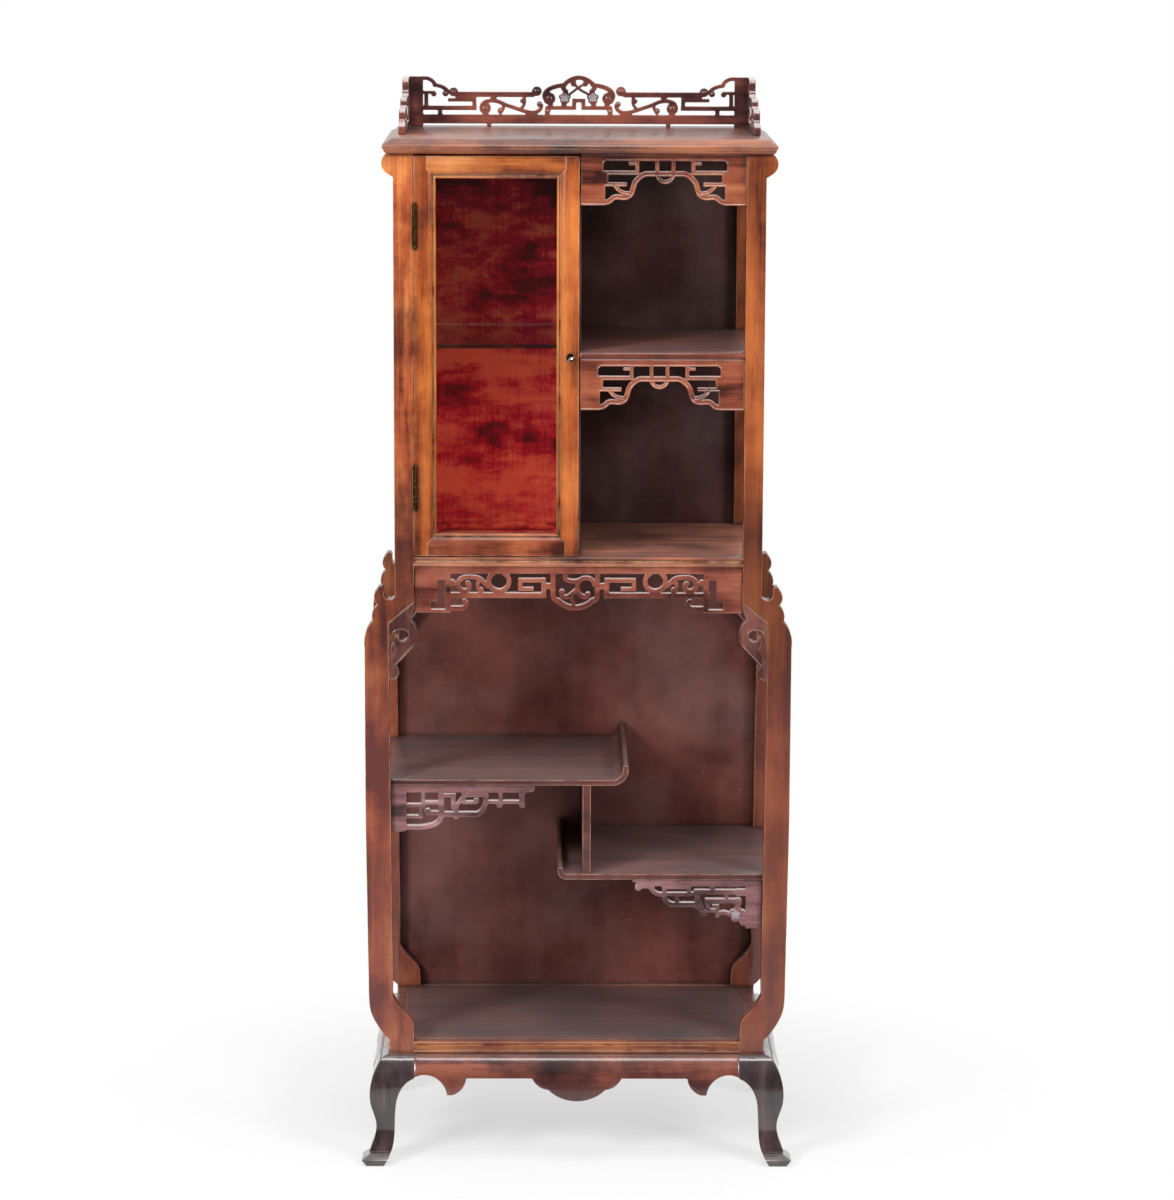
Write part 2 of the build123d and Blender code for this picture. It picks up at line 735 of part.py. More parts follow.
# ---------------------------------------------------------------- frets of the right compartments
def arch_fret(centre):
    """Fret board with an arched opening: wave band, key frets and a hanging loop in the middle."""
    half_window = 96.3
    block(shelf_left_x - centre, upper_inner - centre, -arch_fret_drop, 0)
    with Locations((0, -11.0 - arch_fret_drop / 2)):
        RectangleRounded(2 * half_window, arch_fret_drop + 1.0, 7.0, mode=Mode.SUBTRACT)
    block(-half_window, half_window, -arch_fret_drop, -arch_fret_drop + 8.0, mode=Mode.SUBTRACT)
    bar(-27.0, -30.7, 27.0, -30.7, 7.5)
    for side in (-1, 1):
        scroll(
            [
                (side * 98.0, -75.7),
                (side * 91.5, -75.2),
                (side * 85.5, -72.5),
                (side * 80.5, -68.0),
                (side * 73.0, -66.8),
                (side * 62.0, -67.4),
                (side * 54.3, -63.4),
                (side * 50.5, -55.2),
                (side * 47.8, -46.0),
                (side * 41.5, -37.6),
                (side * 34.0, -32.2),
                (side * 26.0, -30.7),
            ],
            7.5,
        )
        bar(side * 95.0, -29.2, side * 45.0, -29.2, 6.0)
        bar(side * 43.6, -14.5, side * 43.6, -29.2, 5.5)
        bar(side * 54.5, -15.0, side * 43.6, -15.0, 4.5)
        bar(side * 91.5, -29.2, side * 91.5, -47.3, 5.5)
        bar(side * 91.5, -47.3, side * 62.5, -47.3, 5.5)
        scroll([(side * 77.7, -49.5), (side * 67.5, -59.0), (side * 57.5, -61.0)], 5.5)
        bar(side * 12.6, -9.0, side * 12.6, -31.0, 5.5)
        bar(side * 95.0, -72.0, side * 95.0, -30.0, 3.0)
    with BuildLine() as outline:
        CenterArc((0, -31.0), 12.6, 180, 180)
    trace(outline.edges(), line_width=5.5)


bay_middle = (shelf_left_x + upper_inner) / 2
for z_top, centre, name in (
    (z_case_top, bay_middle + 2.2, "fret_upper"),
    (z_upper_shelf, bay_middle - 4.6, "fret_lower"),
):
    with BuildPart() as compartment_fret:
        with BuildSketch(facing_plane(centre, y_front + fret_setback + fret_thickness, z_top)):
            arch_fret(centre)
        extrude(amount=fret_thickness)
    save(compartment_fret, name)


# ---------------------------------------------------------------- long fret under the middle floor
def long_fret():
    """Long fret: hooked ends, scroll and key panels, and a lobed medallion in the middle."""
    block(-upper_inner - long_fret_x, upper_inner - long_fret_x, -6.3, long_fret_lift)
    # the right half is drawn a little longer than the left one
    for side, extra in ((-1, 0.0), (1, 6.0)):
        edge = side * upper_inner - long_fret_x
        window = side * (197.7 + extra)
        block(window, edge, -long_fret_drop, 0)
        block(window + side * 20.3, window + side * 7.3, -57.0, -16.6, mode=Mode.SUBTRACT)
        block(window + side * 31.0, window + side * 7.3, -64.3, -51.5, mode=Mode.SUBTRACT)

        def at(x, z):
            return (side * (x + extra), z)

        bar(*at(201.0, -62.5), *at(184.0, -62.5), 7.0)
        scroll([at(186.0, -62.5), at(176.5, -61.5), at(172.3, -56.0), at(175.5, -50.5)], 6.5)
        bar(*at(202.0, -41.7), side * 50.0, -41.7, 8.5)
        ball(*at(194.6, -21.5), 5.0)
        bar(*at(200.0, -21.5), *at(196.0, -21.5), 3.5)
        # square key
        bar(side * 50.0, -41.7, side * 50.0, -17.5, 6.5)
        bar(side * 50.0, -17.5, *at(87.0, -17.5), 6.0)
        bar(*at(87.0, -17.5), *at(87.0, -31.5), 6.0)
        bar(*at(87.0, -31.5), *at(69.0, -31.5), 5.5)
        bar(side * 40.0, -27.0, side * 46.0, -27.0, 9.0)
        # open ring, and the scroll that leaves it
        scroll(
            [
                at(112.5, -7.0),
                at(105.5, -14.0),
                at(105.0, -22.5),
                at(109.5, -30.5),
                at(120.0, -34.6),
                at(131.0, -31.0),
                at(136.3, -22.5),
                at(136.0, -13.5),
                at(130.5, -7.0),
            ],
            6.5,
        )
        scroll(
            [
                at(138.5, -27.0),
                at(145.1, -20.5),
                at(153.2, -14.3),
                at(164.0, -12.4),
                at(175.5, -13.0),
                at(183.5, -18.0),
                at(185.8, -25.0),
                at(182.5, -31.5),
                at(175.5, -34.8),
                at(169.0, -31.5),
                at(167.2, -26.0),
                at(171.0, -22.0),
            ],
            6.5,
        )
        scroll([at(149.5, -17.5), at(154.5, -24.0), at(153.0, -31.0)], 5.5)
        ball(*at(149.8, -33.5), 4.6)
        # medallion frame
        bar(side * 35.0, -6.0, side * 35.0, -39.0, 7.0)
        scroll([(side * 35.0, -41.0), (side * 32.5, -47.0), (side * 25.0, -51.0)], 7.5)
        scroll([(side * 26.0, -50.5), (side * 18.0, -57.0), (side * 9.0, -60.4), (0, -61.4)], 8.0)
    # spray inside the medallion
    scroll(
        [
            (29.3, -20.5),
            (24.0, -15.0),
            (16.0, -13.5),
            (7.5, -17.0),
            (3.5, -25.5),
            (4.5, -36.0),
            (10.5, -42.5),
            (18.0, -44.0),
        ],
        6.0,
    )
    ball(20.0, -40.5, 4.2)
    bar(30.0, -24.0, 33.0, -24.0, 5.0)
    scroll([(4.5, -18.0), (-4.0, -19.0), (-12.0, -17.5), (-16.5, -13.5), (-15.0, -8.5)], 6.0)
    scroll([(4.0, -32.0), (-5.5, -39.0), (-15.0, -44.5), (-21.5, -42.0)], 6.0)
    ball(-21.1, -36.5, 4.5)
    scroll([(-8.0, -42.0), (-5.0, -49.0), (-2.0, -58.0)], 5.0)


long_fret_x = -5.0
with BuildPart() as fret_middle:
    with BuildSketch(facing_plane(long_fret_x, y_front + fret_setback + fret_thickness, shoulder)):
        long_fret()
    extrude(amount=fret_thickness)
save(fret_middle, "fret_middle")


# ---------------------------------------------------------------- brackets under the lower shelves
bracket_y = y_front + shelf_setback + 3.0


def bracket_block(inner_x, drop, z_top, side):
    """Solid end of a bracket, its outer edge following the lean of the post."""
    with BuildLine() as outline:
        Polyline(
            (side * (inner_x - lower_inner), 0),
            (side * (post_inside(z_top) - lower_inner), 0),
            (side * (post_inside(z_top - drop) - lower_inner), -drop),
            (side * (inner_x - lower_inner), -drop),
            close=True,
        )
    make_face(outline.edges())


def left_shelf_fret():
    """Stepped fret bracket, from the corner of the left post, origin at its top left corner."""
    bracket_block(lower_inner - 27.0, 71.5, z_left_shelf, -1)
    scroll([(8.0, -71.0), (16.0, -72.5), (26.0, -70.0)], 8.0)
    block(20.0, 218.0, -12.0, 0)
    bar(214.0, -6.5, 222.0, -6.0, 11.0)
    ball(227.0, -5.5, 5.5)
    bar(27.0, -33.5, 54.0, -33.5, 5.5)
    bar(54.0, -29.0, 79.0, -29.0, 5.5)
    bar(54.0, -11.0, 54.0, -33.5, 5.0)
    # key behind the stepped outline
    bar(83.0, -16.5, 83.0, -48.0, 8.0)
    bar(83.0, -17.0, 103.0, -17.0, 6.0)
    bar(102.0, -17.0, 102.0, -31.0, 6.5)
    bar(83.0, -48.0, 136.0, -48.0, 8.0)
    scroll([(136.0, -48.0), (147.0, -43.5), (152.5, -33.0), (154.5, -15.0)], 7.5)
    bar(119.0, -16.5, 155.0, -16.5, 6.0)
    bar(119.0, -16.5, 119.0, -28.5, 5.0)
    bar(119.0, -28.5, 137.0, -28.5, 5.0)
    ball(139.0, -26.0, 4.5)
    bar(105.0, -36.0, 118.0, -21.0, 6.0)
    ball(104.0, -36.5, 5.0)
    bar(107.0, -35.0, 107.0, -49.0, 6.0)
    ball(106.5, -52.0, 4.2)
    # hook and lower key
    bar(27.0, -52.0, 50.0, -52.0, 5.0)
    bar(50.0, -52.0, 50.0, -34.0, 5.5)
    ball(61.0, -43.5, 5.0)
    bar(64.0, -46.0, 79.0, -46.0, 6.5)
    scroll([(24.0, -69.5), (44.0, -70.0), (62.0, -68.0), (75.5, -62.5), (83.0, -50.0)], 7.5)
    # outer steps
    bar(156.0, -28.0, 212.0, -28.0, 5.5)
    bar(178.0, -8.0, 178.0, -28.5, 5.5)
    bar(212.0, -8.0, 212.0, -30.0, 8.0)
    ball(176.5, -32.5, 4.8)
    ball(212.5, -33.0, 4.5)


def right_shelf_fret():
    """Stepped fret bracket with a flower, from the right post, origin at its top right corner."""
    bracket_block(lower_inner - 30.0, 80.5, z_right_shelf, 1)
    block(-205.0, -20.0, -11.0, 0)
    scroll([(-206.0, -4.0), (-211.0, -2.5)], 3.0)
    bar(-205.0, -12.0, -180.0, -12.0, 5.5)
    ball(-203.0, -14.5, 4.5)
    scroll([(-184.0, -12.0), (-178.0, -21.0), (-164.0, -25.5)], 6.5)
    # small frame
    bar(-162.0, -13.5, -121.0, -13.5, 5.0)
    bar(-161.0, -13.5, -161.0, -25.0, 5.5)
    bar(-121.5, -13.5, -121.5, -24.0, 5.5)
    bar(-162.0, -24.5, -121.0, -24.5, 6.0)
    block(-150.0, -134.0, -12.0, -9.0)
    scroll([(-162.0, -26.0), (-159.0, -35.0), (-149.0, -41.0)], 7.0)
    bar(-149.0, -41.7, -114.0, -41.7, 7.5)
    scroll([(-115.0, -41.7), (-105.0, -47.0), (-98.0, -54.0)], 8.0)
    ball(-98.5, -56.0, 5.5)
    bar(-141.0, -26.0, -141.0, -39.0, 6.0)
    # large key
    bar(-110.0, -20.5, -48.0, -20.5, 7.5)
    bar(-120.0, -24.0, -110.0, -23.0, 6.0)
    ball(-41.5, -21.5, 6.0)
    bar(-108.0, -20.5, -108.0, -36.0, 7.5)
    bar(-107.0, -37.0, -98.0, -54.0, 7.0)
    bar(-84.0, -8.0, -84.0, -18.0, 7.0)
    block(-40.0, -28.0, -27.0, -16.0)
    # inner key
    bar(-92.0, -35.5, -46.0, -35.5, 7.5)
    ball(-43.0, -37.0, 6.5)
    bar(-61.0, -22.0, -61.0, -34.0, 5.5)
    bar(-90.5, -35.5, -90.5, -51.5, 6.5)
    bar(-90.5, -51.5, -76.0, -51.5, 6.0)
    bar(-75.5, -51.0, -75.5, -44.0, 5.0)
    bar(-75.5, -43.5, -82.0, -43.5, 4.0)
    bar(-43.0, -38.0, -43.0, -52.0, 6.5)
    # flower and leaf
    blossom(-43.0, -58.0, 7.5, 5.6)
    scroll([(-75.5, -60.5), (-68.0, -55.0), (-58.0, -57.0), (-49.0, -60.0)], 6.0)
    ball(-32.0, -60.0, 7.0)
    ball(-33.0, -70.0, 6.5)


with BuildPart() as shelf_bracket_left:
    with BuildSketch(facing_plane(-lower_inner, bracket_y + fret_thickness, z_left_shelf)):
        left_shelf_fret()
    extrude(amount=fret_thickness)
save(shelf_bracket_left, "shelf_bracket_left")

with BuildPart() as shelf_bracket_right:
    with BuildSketch(facing_plane(lower_inner, bracket_y + fret_thickness, z_right_shelf)):
        right_shelf_fret()
    extrude(amount=fret_thickness)
save(shelf_bracket_right, "shelf_bracket_right")


# ---------------------------------------------------------------- gallery
def gallery_fret():
    """Half of the gallery's open work is drawn on each side of a lobed arch with two blossoms."""
    rail_low = 4.5
    rail_top = 19.5
    stile_inner = gallery_side_x - 21.5
    block(-stile_inner, stile_inner, rail_low, rail_top)
    for side in (-1, 1):
        def at(x, z):
            return (side * x, z)

        block(side * stile_inner, side * gallery_side_x, 0, gallery_height)
        block(side * 149.5, side * 142.5, 0, rail_low + 1.0)
        # head sweeping down to a curl
        scroll([at(stile_inner + 2.5, 77.7), at(246.0, 77.4), at(238.0, 73.0), at(234.0, 66.5)], 6.5)
        scroll([at(235.0, 67.0), at(227.0, 65.5), at(219.0, 62.0), at(213.5, 57.0)], 6.5)
        ball(*at(217.0, 53.5), 5.2)
        # key fret
        bar(*at(251.0, 55.0), *at(237.0, 55.0), 5.0)
        ball(*at(236.0, 52.5), 4.5)
        bar(*at(248.3, 54.0), *at(248.3, 30.0), 6.5)
        bar(*at(250.0, 30.0), *at(170.0, 30.0), 7.5)
        bar(*at(226.0, 18.0), *at(226.0, 28.0), 7.0)
        bar(*at(210.0, 43.0), *at(170.0, 43.0), 6.0)
        bar(*at(170.0, 43.0), *at(170.0, 30.0), 6.5)
        block(side * 200.0, side * 173.0, 43.0, 48.5)
        # long bar between two volutes
        bar(*at(197.0, 52.0), *at(78.0, 52.0), 8.8)
        ball(*at(204.0, 55.8), 7.4)
        scroll([at(79.0, 52.0), at(70.0, 53.5), at(64.0, 57.0)], 7.5)
        ball(*at(68.4, 57.4), 8.0)
        bar(*at(214.0, 56.5), *at(206.0, 56.5), 3.5)
        # double scroll
        ball(*at(152.5, 29.5), 9.4)
        scroll(
            [
                at(158.5, 31.0),
                at(155.5, 37.8),
                at(148.0, 41.3),
                at(139.0, 41.8),
                at(130.0, 40.0),
                at(120.0, 35.5),
                at(105.0, 30.5),
                at(92.0, 26.0),
                at(80.0, 23.3),
                at(70.0, 23.4),
                at(63.0, 28.0),
                at(61.0, 34.5),
            ],
            6.5,
        )
        ball(*at(64.0, 36.5), 4.6)
        block(side * 156.0, side * 147.0, 18.0, 24.0)
        block(side * 143.5, side * 134.0, 43.0, 49.0)
        scroll([at(124.5, 37.0), at(122.5, 31.0), at(125.0, 25.5)], 5.0)
        ball(*at(127.5, 25.8), 5.0)
        scroll([at(96.0, 28.5), at(89.5, 35.0), at(88.0, 42.0), at(90.0, 49.0)], 5.0)
        ball(*at(92.0, 41.5), 3.8)
        # lobed arch
        scroll([at(55.5, 47.0), at(55.0, 54.0), at(49.5, 60.0), at(41.0, 64.0), at(30.0, 66.7), at(23.0, 67.5)], 7.5)
        scroll([at(25.0, 66.5), at(18.0, 73.0), at(9.0, 77.8), (0, 79.5)], 7.5)
        ball(*at(48.0, 45.5), 10.0)
        # base key under the arch
        ball(*at(51.0, 25.0), 4.8)
        bar(*at(51.0, 30.5), *at(8.0, 30.5), 6.5)
        bar(*at(7.5, 30.5), *at(7.5, 42.5), 6.5)
        block(side * 55.0, side * 47.5, 18.5, 30.0)
        block(side * 50.0, side * 42.0, 30.0, 38.0)
        blossom(*at(22.8, 46.6), 5.6, 4.4)
        ball(*at(24.0, 37.5), 4.6)
        ball(*at(21.5, 57.0), 4.6)
        ball(*at(25.0, 62.0), 4.2)
    bar(-7.5, 42.5, 7.5, 42.5, 6.5)
    # crossing twigs
    scroll([(-7.0, 76.5), (-3.5, 65.0), (10.0, 55.5), (18.5, 51.0)], 4.2)
    scroll([(10.0, 69.0), (-2.0, 62.5), (-11.0, 55.5), (-18.5, 50.5)], 4.2)
    ball(-8.5, 69.5, 4.8)
    ball(10.5, 69.5, 4.6)


gallery_side_x = cornice_half - gallery_side_inset
gallery_back_y = y_back - gallery_back_inset

with BuildPart() as gallery_back:
    with BuildSketch(facing_plane(0, gallery_back_y, z_cornice_top)):
        gallery_fret()
    extrude(amount=gallery_thickness)
save(gallery_back, "gallery_back")


def gallery_side_outline():
    """Pierced side board of the gallery: three cloud steps falling to the front."""
    high = gallery_height
    step_1 = 0.65 * high
    step_2 = 0.48 * high
    step_3 = 0.20 * high

    def at(forward, up):
        return (gallery_back_y - forward * gallery_side_depth / 235.0, z_cornice_top + up)

    with BuildLine() as outline:
        Polyline(at(0, 0), at(0, high), at(46.0, high))
        ThreePointArc(at(46.0, high), at(57.0, high - 4.0), at(60.0, high - 14.0))
        ThreePointArc(at(60.0, high - 14.0), at(57.5, high - 18.0), at(60.0, high - 22.0))
        ThreePointArc(at(60.0, high - 22.0), at(61.5, high - 26.0), at(66.0, step_1))
        Line(at(66.0, step_1), at(138.0, step_1))
        ThreePointArc(at(138.0, step_1), at(148.0, step_1 - 3.0), at(150.0, step_1 - 9.0))
        ThreePointArc(at(150.0, step_1 - 9.0), at(151.3, step_2 + 1.2), at(155.0, step_2))
        Line(at(155.0, step_2), at(198.0, step_2))
        ThreePointArc(at(198.0, step_2), at(208.0, step_2 - 4.0), at(210.0, step_2 - 12.0))
        ThreePointArc(at(210.0, step_2 - 12.0), at(207.5, step_2 - 15.0), at(209.0, step_2 - 18.0))
        ThreePointArc(at(209.0, step_2 - 18.0), at(210.5, step_3 + 1.5), at(214.0, step_3))
        Line(at(214.0, step_3), at(226.0, step_3))
        ThreePointArc(at(226.0, step_3), at(233.5, step_3 - 2.5), at(235.0, step_3 - 8.0))
        Polyline(at(235.0, step_3 - 8.0), at(235.0, 0), at(0, 0))
    make_face(outline.edges())
    for near, far, top in ((20.0, 50.0, high - 12.0), (60.0, 140.0, step_1 - 11.0), (150.0, 200.0, step_2 - 11.0)):
        middle = at((near + far) / 2, (11.0 + top) / 2)
        reach = (far - near) * gallery_side_depth / 235.0
        with Locations(middle):
            RectangleRounded(reach, top - 11.0, 5.0, mode=Mode.SUBTRACT)
    scroll([at(26.0, 9.0), at(29.0, 26.0), at(42.0, 40.0), at(41.0, 54.0), at(34.0, high - 10.0)], 5.5)
    scroll([at(58.0, 26.0), at(72.0, 34.0), at(88.0, 27.0), at(104.0, 19.0), at(122.0, 24.0), at(142.0, 30.0)], 5.5)
    scroll([at(148.0, 21.0), at(162.0, 15.0), at(178.0, 20.0), at(191.0, 21.0), at(203.0, 15.0)], 5.0)


for side, name in ((-1, "gallery_left"), (1, "gallery_right")):
    with BuildPart() as gallery_side:
        inner = side * gallery_side_x
        with BuildSketch(Plane.YZ.offset(inner)):
            gallery_side_outline()
        extrude(amount=side * gallery_side_thickness)
    save(gallery_side, name)


# ---------------------------------------------------------------- door
def door_section(at):
    """Section of the door frame; at(inward, y) places a point, inward from the outer edge."""
    w = door_frame_width
    m = w - door_moulding
    rebate = w - glass_rebate
    back = door_back_y
    glass_y = y_front + glass_depth
    with BuildLine() as outline:
        Line(at(0, back), at(0, y_front))
        Line(at(0, y_front), at(m, y_front))
        ThreePointArc(at(m, y_front), at(m + 5.0, y_front + 0.8), at(m + 8.0, y_front + 3.0))
        Polyline(at(m + 8.0, y_front + 3.0), at(m + 8.0, y_front + 5.0), at(m + 10.0, y_front + 5.0))
        ThreePointArc(at(m + 10.0, y_front + 5.0), at(w - 2.0, y_front + 2.8), at(w, y_front + 5.0))
        Polyline(at(w, y_front + 5.0), at(w, glass_y), at(rebate, glass_y), at(rebate, back), at(0, back))
    make_face(outline.edges())


flat = door_frame_width - door_moulding
sight_left = door_left + door_frame_width
sight_right = door_free_edge_x - door_frame_width
sight_bottom = door_bottom + door_frame_width
sight_top = door_top - door_frame_width


def stile_outline(edge, inward):
    """Front view of a door stile, mitred over the moulding."""
    with BuildLine() as outline:
        Polyline(
            (edge, door_bottom),
            (edge, door_top),
            (edge + inward * flat, door_top),
            (edge + inward * flat, door_top - flat),
            (edge + inward * door_frame_width, sight_top),
            (edge + inward * door_frame_width, sight_bottom),
            (edge + inward * flat, door_bottom + flat),
            (edge + inward * flat, door_bottom),
            close=True,
        )
    make_face(outline.edges())


def rail_outline(edge, inward):
    """Front view of a door rail, mitred over the moulding."""
    with BuildLine() as outline:
        Polyline(
            (door_left + flat, edge),
            (door_free_edge_x - flat, edge),
            (door_free_edge_x - flat, edge + inward * flat),
            (sight_right, edge + inward * door_frame_width),
            (sight_left, edge + inward * door_frame_width),
            (door_left + flat, edge + inward * flat),
            close=True,
        )
    make_face(outline.edges())


door_length = door_top - door_bottom
door_width = door_free_edge_x - door_left

for edge, inward, name in ((door_left, 1, "door_stile_hinge"), (door_free_edge_x, -1, "door_stile_lock")):
    with BuildPart() as door_stile:
        with BuildSketch(Plane.XY.offset(door_bottom)):
            door_section(lambda d, y: (edge + inward * d, y))
        extrude(amount=door_length)
        with BuildSketch(Plane.XZ.offset(-door_back_y)):
            stile_outline(edge, inward)
        extrude(amount=door_thickness, mode=Mode.INTERSECT)
        if inward > 0:
            for z in hinge_centres:
                box_piece(
                    door_left, door_left + hinge_leaf, y_front, y_front + hinge_leaf_depth,
                    z - hinge_length / 2 + finial_height, z + hinge_length / 2 - finial_height,
                    mode=Mode.SUBTRACT,
                )
                for step in screw_steps:
                    hole = Plane(origin=(door_left, screw_y, z + step), z_dir=(1, 0, 0))
                    with BuildSketch(hole):
                        Circle(screw_radius + 0.1)
                    extrude(amount=screw_length + 0.2, mode=Mode.SUBTRACT)
        else:
            for radius, depth in (
                (escutcheon_radius, 2.0),
                (keyhole_radius, 8.0),
                (key_radius + fit, door_thickness),
            ):
                with BuildSketch(Plane.XZ.offset(-y_front)):
                    with Locations((key_x, key_z)):
                        Circle(radius)
                extrude(amount=-depth, mode=Mode.SUBTRACT)
    save(door_stile, name)

for edge, inward, name in ((door_bottom, 1, "door_rail_bottom"), (door_top, -1, "door_rail_top")):
    with BuildPart() as door_rail:
        with BuildSketch(Plane.YZ.offset(door_left)):
            door_section(lambda d, y: (y, edge + inward * d))
        extrude(amount=door_width)
        with BuildSketch(Plane.XZ.offset(-door_back_y)):
            rail_outline(edge, inward)
        extrude(amount=door_thickness, mode=Mode.INTERSECT)
    save(door_rail, name)

sight_width = sight_right - sight_left
sight_height = sight_top - sight_bottom
sight_centre = ((sight_left + sight_right) / 2, (sight_bottom + sight_top) / 2)
glass_width = sight_width + 2 * (glass_rebate - glass_clearance)
glass_height = sight_height + 2 * (glass_rebate - glass_clearance)
glass_front = y_front + glass_depth
glass_back = glass_front + glass_thickness

with BuildPart() as door_glass:
    with BuildSketch(facing_plane(sight_centre[0], glass_back, sight_centre[1])):
        Rectangle(glass_width, glass_height)
    extrude(amount=glass_edge)
    with BuildSketch(facing_plane(sight_centre[0], glass_back - glass_edge, sight_centre[1])):
        Rectangle(glass_width, glass_height)
    with BuildSketch(facing_plane(sight_centre[0], glass_front, sight_centre[1])):
        Rectangle(glass_width - 2 * glass_bevel, glass_height - 2 * glass_bevel)
    loft()
save(door_glass, "door_glass")

with BuildPart() as glazing_bead:
    with BuildSketch(facing_plane(sight_centre[0], door_back_y, sight_centre[1])):
        Rectangle(sight_width + 2 * glass_rebate, sight_height + 2 * glass_rebate)
        Rectangle(sight_width, sight_height, mode=Mode.SUBTRACT)
    extrude(amount=door_back_y - glass_back)
save(glazing_bead, "glazing_bead")

# ---------------------------------------------------------------- hinges
knuckle = hinge_length / 2 - finial_height
middle = knuckle / 3


def knuckle_piece(z0, z1, bore):
    """One knuckle of a hinge barrel."""
    with BuildSketch(Plane.XY.offset(z0)) as ring:
        with Locations((axis_x, axis_y)):
            Circle(hinge_barrel_radius)
            Circle(bore, mode=Mode.SUBTRACT)
    extrude(ring.sketch, amount=z1 - z0)


def screw_holes(plate_x, direction, z):
    """Countersunk holes through a hinge leaf."""
    for step in screw_steps:
        face = Plane(origin=(plate_x, screw_y, z + step), z_dir=(direction, 0, 0))
        with BuildSketch(face) as mouth:
            Circle(screw_head_radius + 0.05)
        with BuildSketch(face.offset(hinge_leaf)) as throat:
            Circle(screw_radius + 0.05)
        loft([mouth.sketch, throat.sketch], mode=Mode.SUBTRACT)


with BuildPart() as hinge_leaves_case:
    for z in hinge_centres:
        box_piece(
            -upper_inner - hinge_leaf, -upper_inner, y_front, y_front + hinge_leaf_depth,
            z - knuckle, z + knuckle,
        )
        with BuildSketch(Plane.XY.offset(z - middle + fit / 2)):
            with BuildLine() as outline:
                Polyline(
                    (-upper_inner - hinge_leaf, y_front),
                    (axis_x - hinge_barrel_radius * 0.9, axis_y - 0.8),
                    (axis_x - hinge_barrel_radius * 0.75, axis_y + 1.8),
                    (-upper_inner, y_front),
                    close=True,
                )
            make_face(outline.edges())
        extrude(amount=2 * middle - fit)
        knuckle_piece(z - middle + fit / 2, z + middle - fit / 2, hinge_pin_radius)
        screw_holes(-upper_inner, -1, z)
save(hinge_leaves_case, "hinge_leaves_case")

with BuildPart() as hinge_leaves_door:
    for z in hinge_centres:
        box_piece(
            door_left, door_left + hinge_leaf, y_front, y_front + hinge_leaf_depth,
            z - knuckle, z + knuckle,
        )
        for z0, z1 in ((z - knuckle, z - middle - fit / 2), (z + middle + fit / 2, z + knuckle)):
            with BuildSketch(Plane.XY.offset(z0)):
                with BuildLine() as outline:
                    Polyline(
                        (door_left, y_front),
                        (axis_x - 1.9, axis_y + 1.8),
                        (axis_x - 0.3, axis_y + 2.5),
                        (door_left + hinge_leaf, y_front),
                        close=True,
                    )
                make_face(outline.edges())
            extrude(amount=z1 - z0)
            knuckle_piece(z0, z1, hinge_pin_radius + fit)
        screw_holes(door_left, 1, z)
save(hinge_leaves_door, "hinge_leaves_door")

with BuildPart() as hinge_pins:
    for z in hinge_centres:
        with BuildSketch(Plane.XY.offset(z - knuckle - fit)):
            with Locations((axis_x, axis_y)):
                Circle(hinge_pin_radius)
        extrude(amount=2 * (knuckle + fit))
        for end in (-1, 1):
            with BuildSketch(Plane.XY.offset(z + end * (knuckle + fit))):
                with Locations((axis_x, axis_y)):
                    Circle(hinge_barrel_radius - 0.2)
            with BuildSketch(Plane.XY.offset(z + end * (knuckle + finial_height))):
                with Locations((axis_x, axis_y)):
                    Circle(0.5 * hinge_barrel_radius)
            loft()
save(hinge_pins, "hinge_pins")

for plate_x, direction, name in ((-upper_inner, -1, "hinge_screws_case"), (door_left, 1, "hinge_screws_door")):
    with BuildPart() as hinge_screws:
        for z in hinge_centres:
            for step in screw_steps:
                face = Plane(origin=(plate_x, screw_y, z + step), z_dir=(direction, 0, 0))
                with BuildSketch(face):
                    Circle(screw_head_radius)
                with BuildSketch(face.offset(hinge_leaf)):
                    Circle(screw_radius)
                loft()
                with BuildSketch(face.offset(hinge_leaf)):
                    Circle(screw_radius)
                extrude(amount=screw_length - hinge_leaf)
    save(hinge_screws, name)

# ---------------------------------------------------------------- lock and key
with BuildPart() as lock_case:
    box_piece(lock_left, lock_right, door_back_y, door_back_y + lock_depth, lock_bottom, lock_bottom + lock_height)
    box_piece(
        lock_left + lock_wall, lock_right - lock_wall, door_back_y, door_back_y + lock_depth - lock_wall,
        lock_bottom + lock_wall, lock_bottom + lock_height - lock_wall, mode=Mode.SUBTRACT,
    )
    box_piece(
        lock_right - 2 * lock_wall, lock_right + 1.0, bolt_front - fit, bolt_front + bolt_thickness + fit,
        bolt_bottom - fit, bolt_bottom + bolt_height + fit, mode=Mode.SUBTRACT,
    )
save(lock_case, "lock_case")

with BuildPart() as lock_bolt:
    bolt_left = lock_left + lock_wall + 1.5
    box_piece(
        bolt_left, lock_right, bolt_front, bolt_front + bolt_thickness, bolt_bottom, bolt_bottom + bolt_height
    )
    box_piece(
        bolt_left, bolt_left + 3.0, bolt_front, bolt_front + bolt_thickness, bolt_bottom - 6.0, bolt_bottom
    )
save(lock_bolt, "lock_bolt")

slant = radians(key_angle)
key_plane = Plane(origin=(key_x, 0, key_z), x_dir=(cos(slant), 0, sin(slant)), z_dir=(sin(slant), 0, -cos(slant)))
shank_tip = door_back_y + lock_depth - lock_wall - fit
bow_y = -(y_front - key_reach) - bow_length / 2     # forward of the case's middle

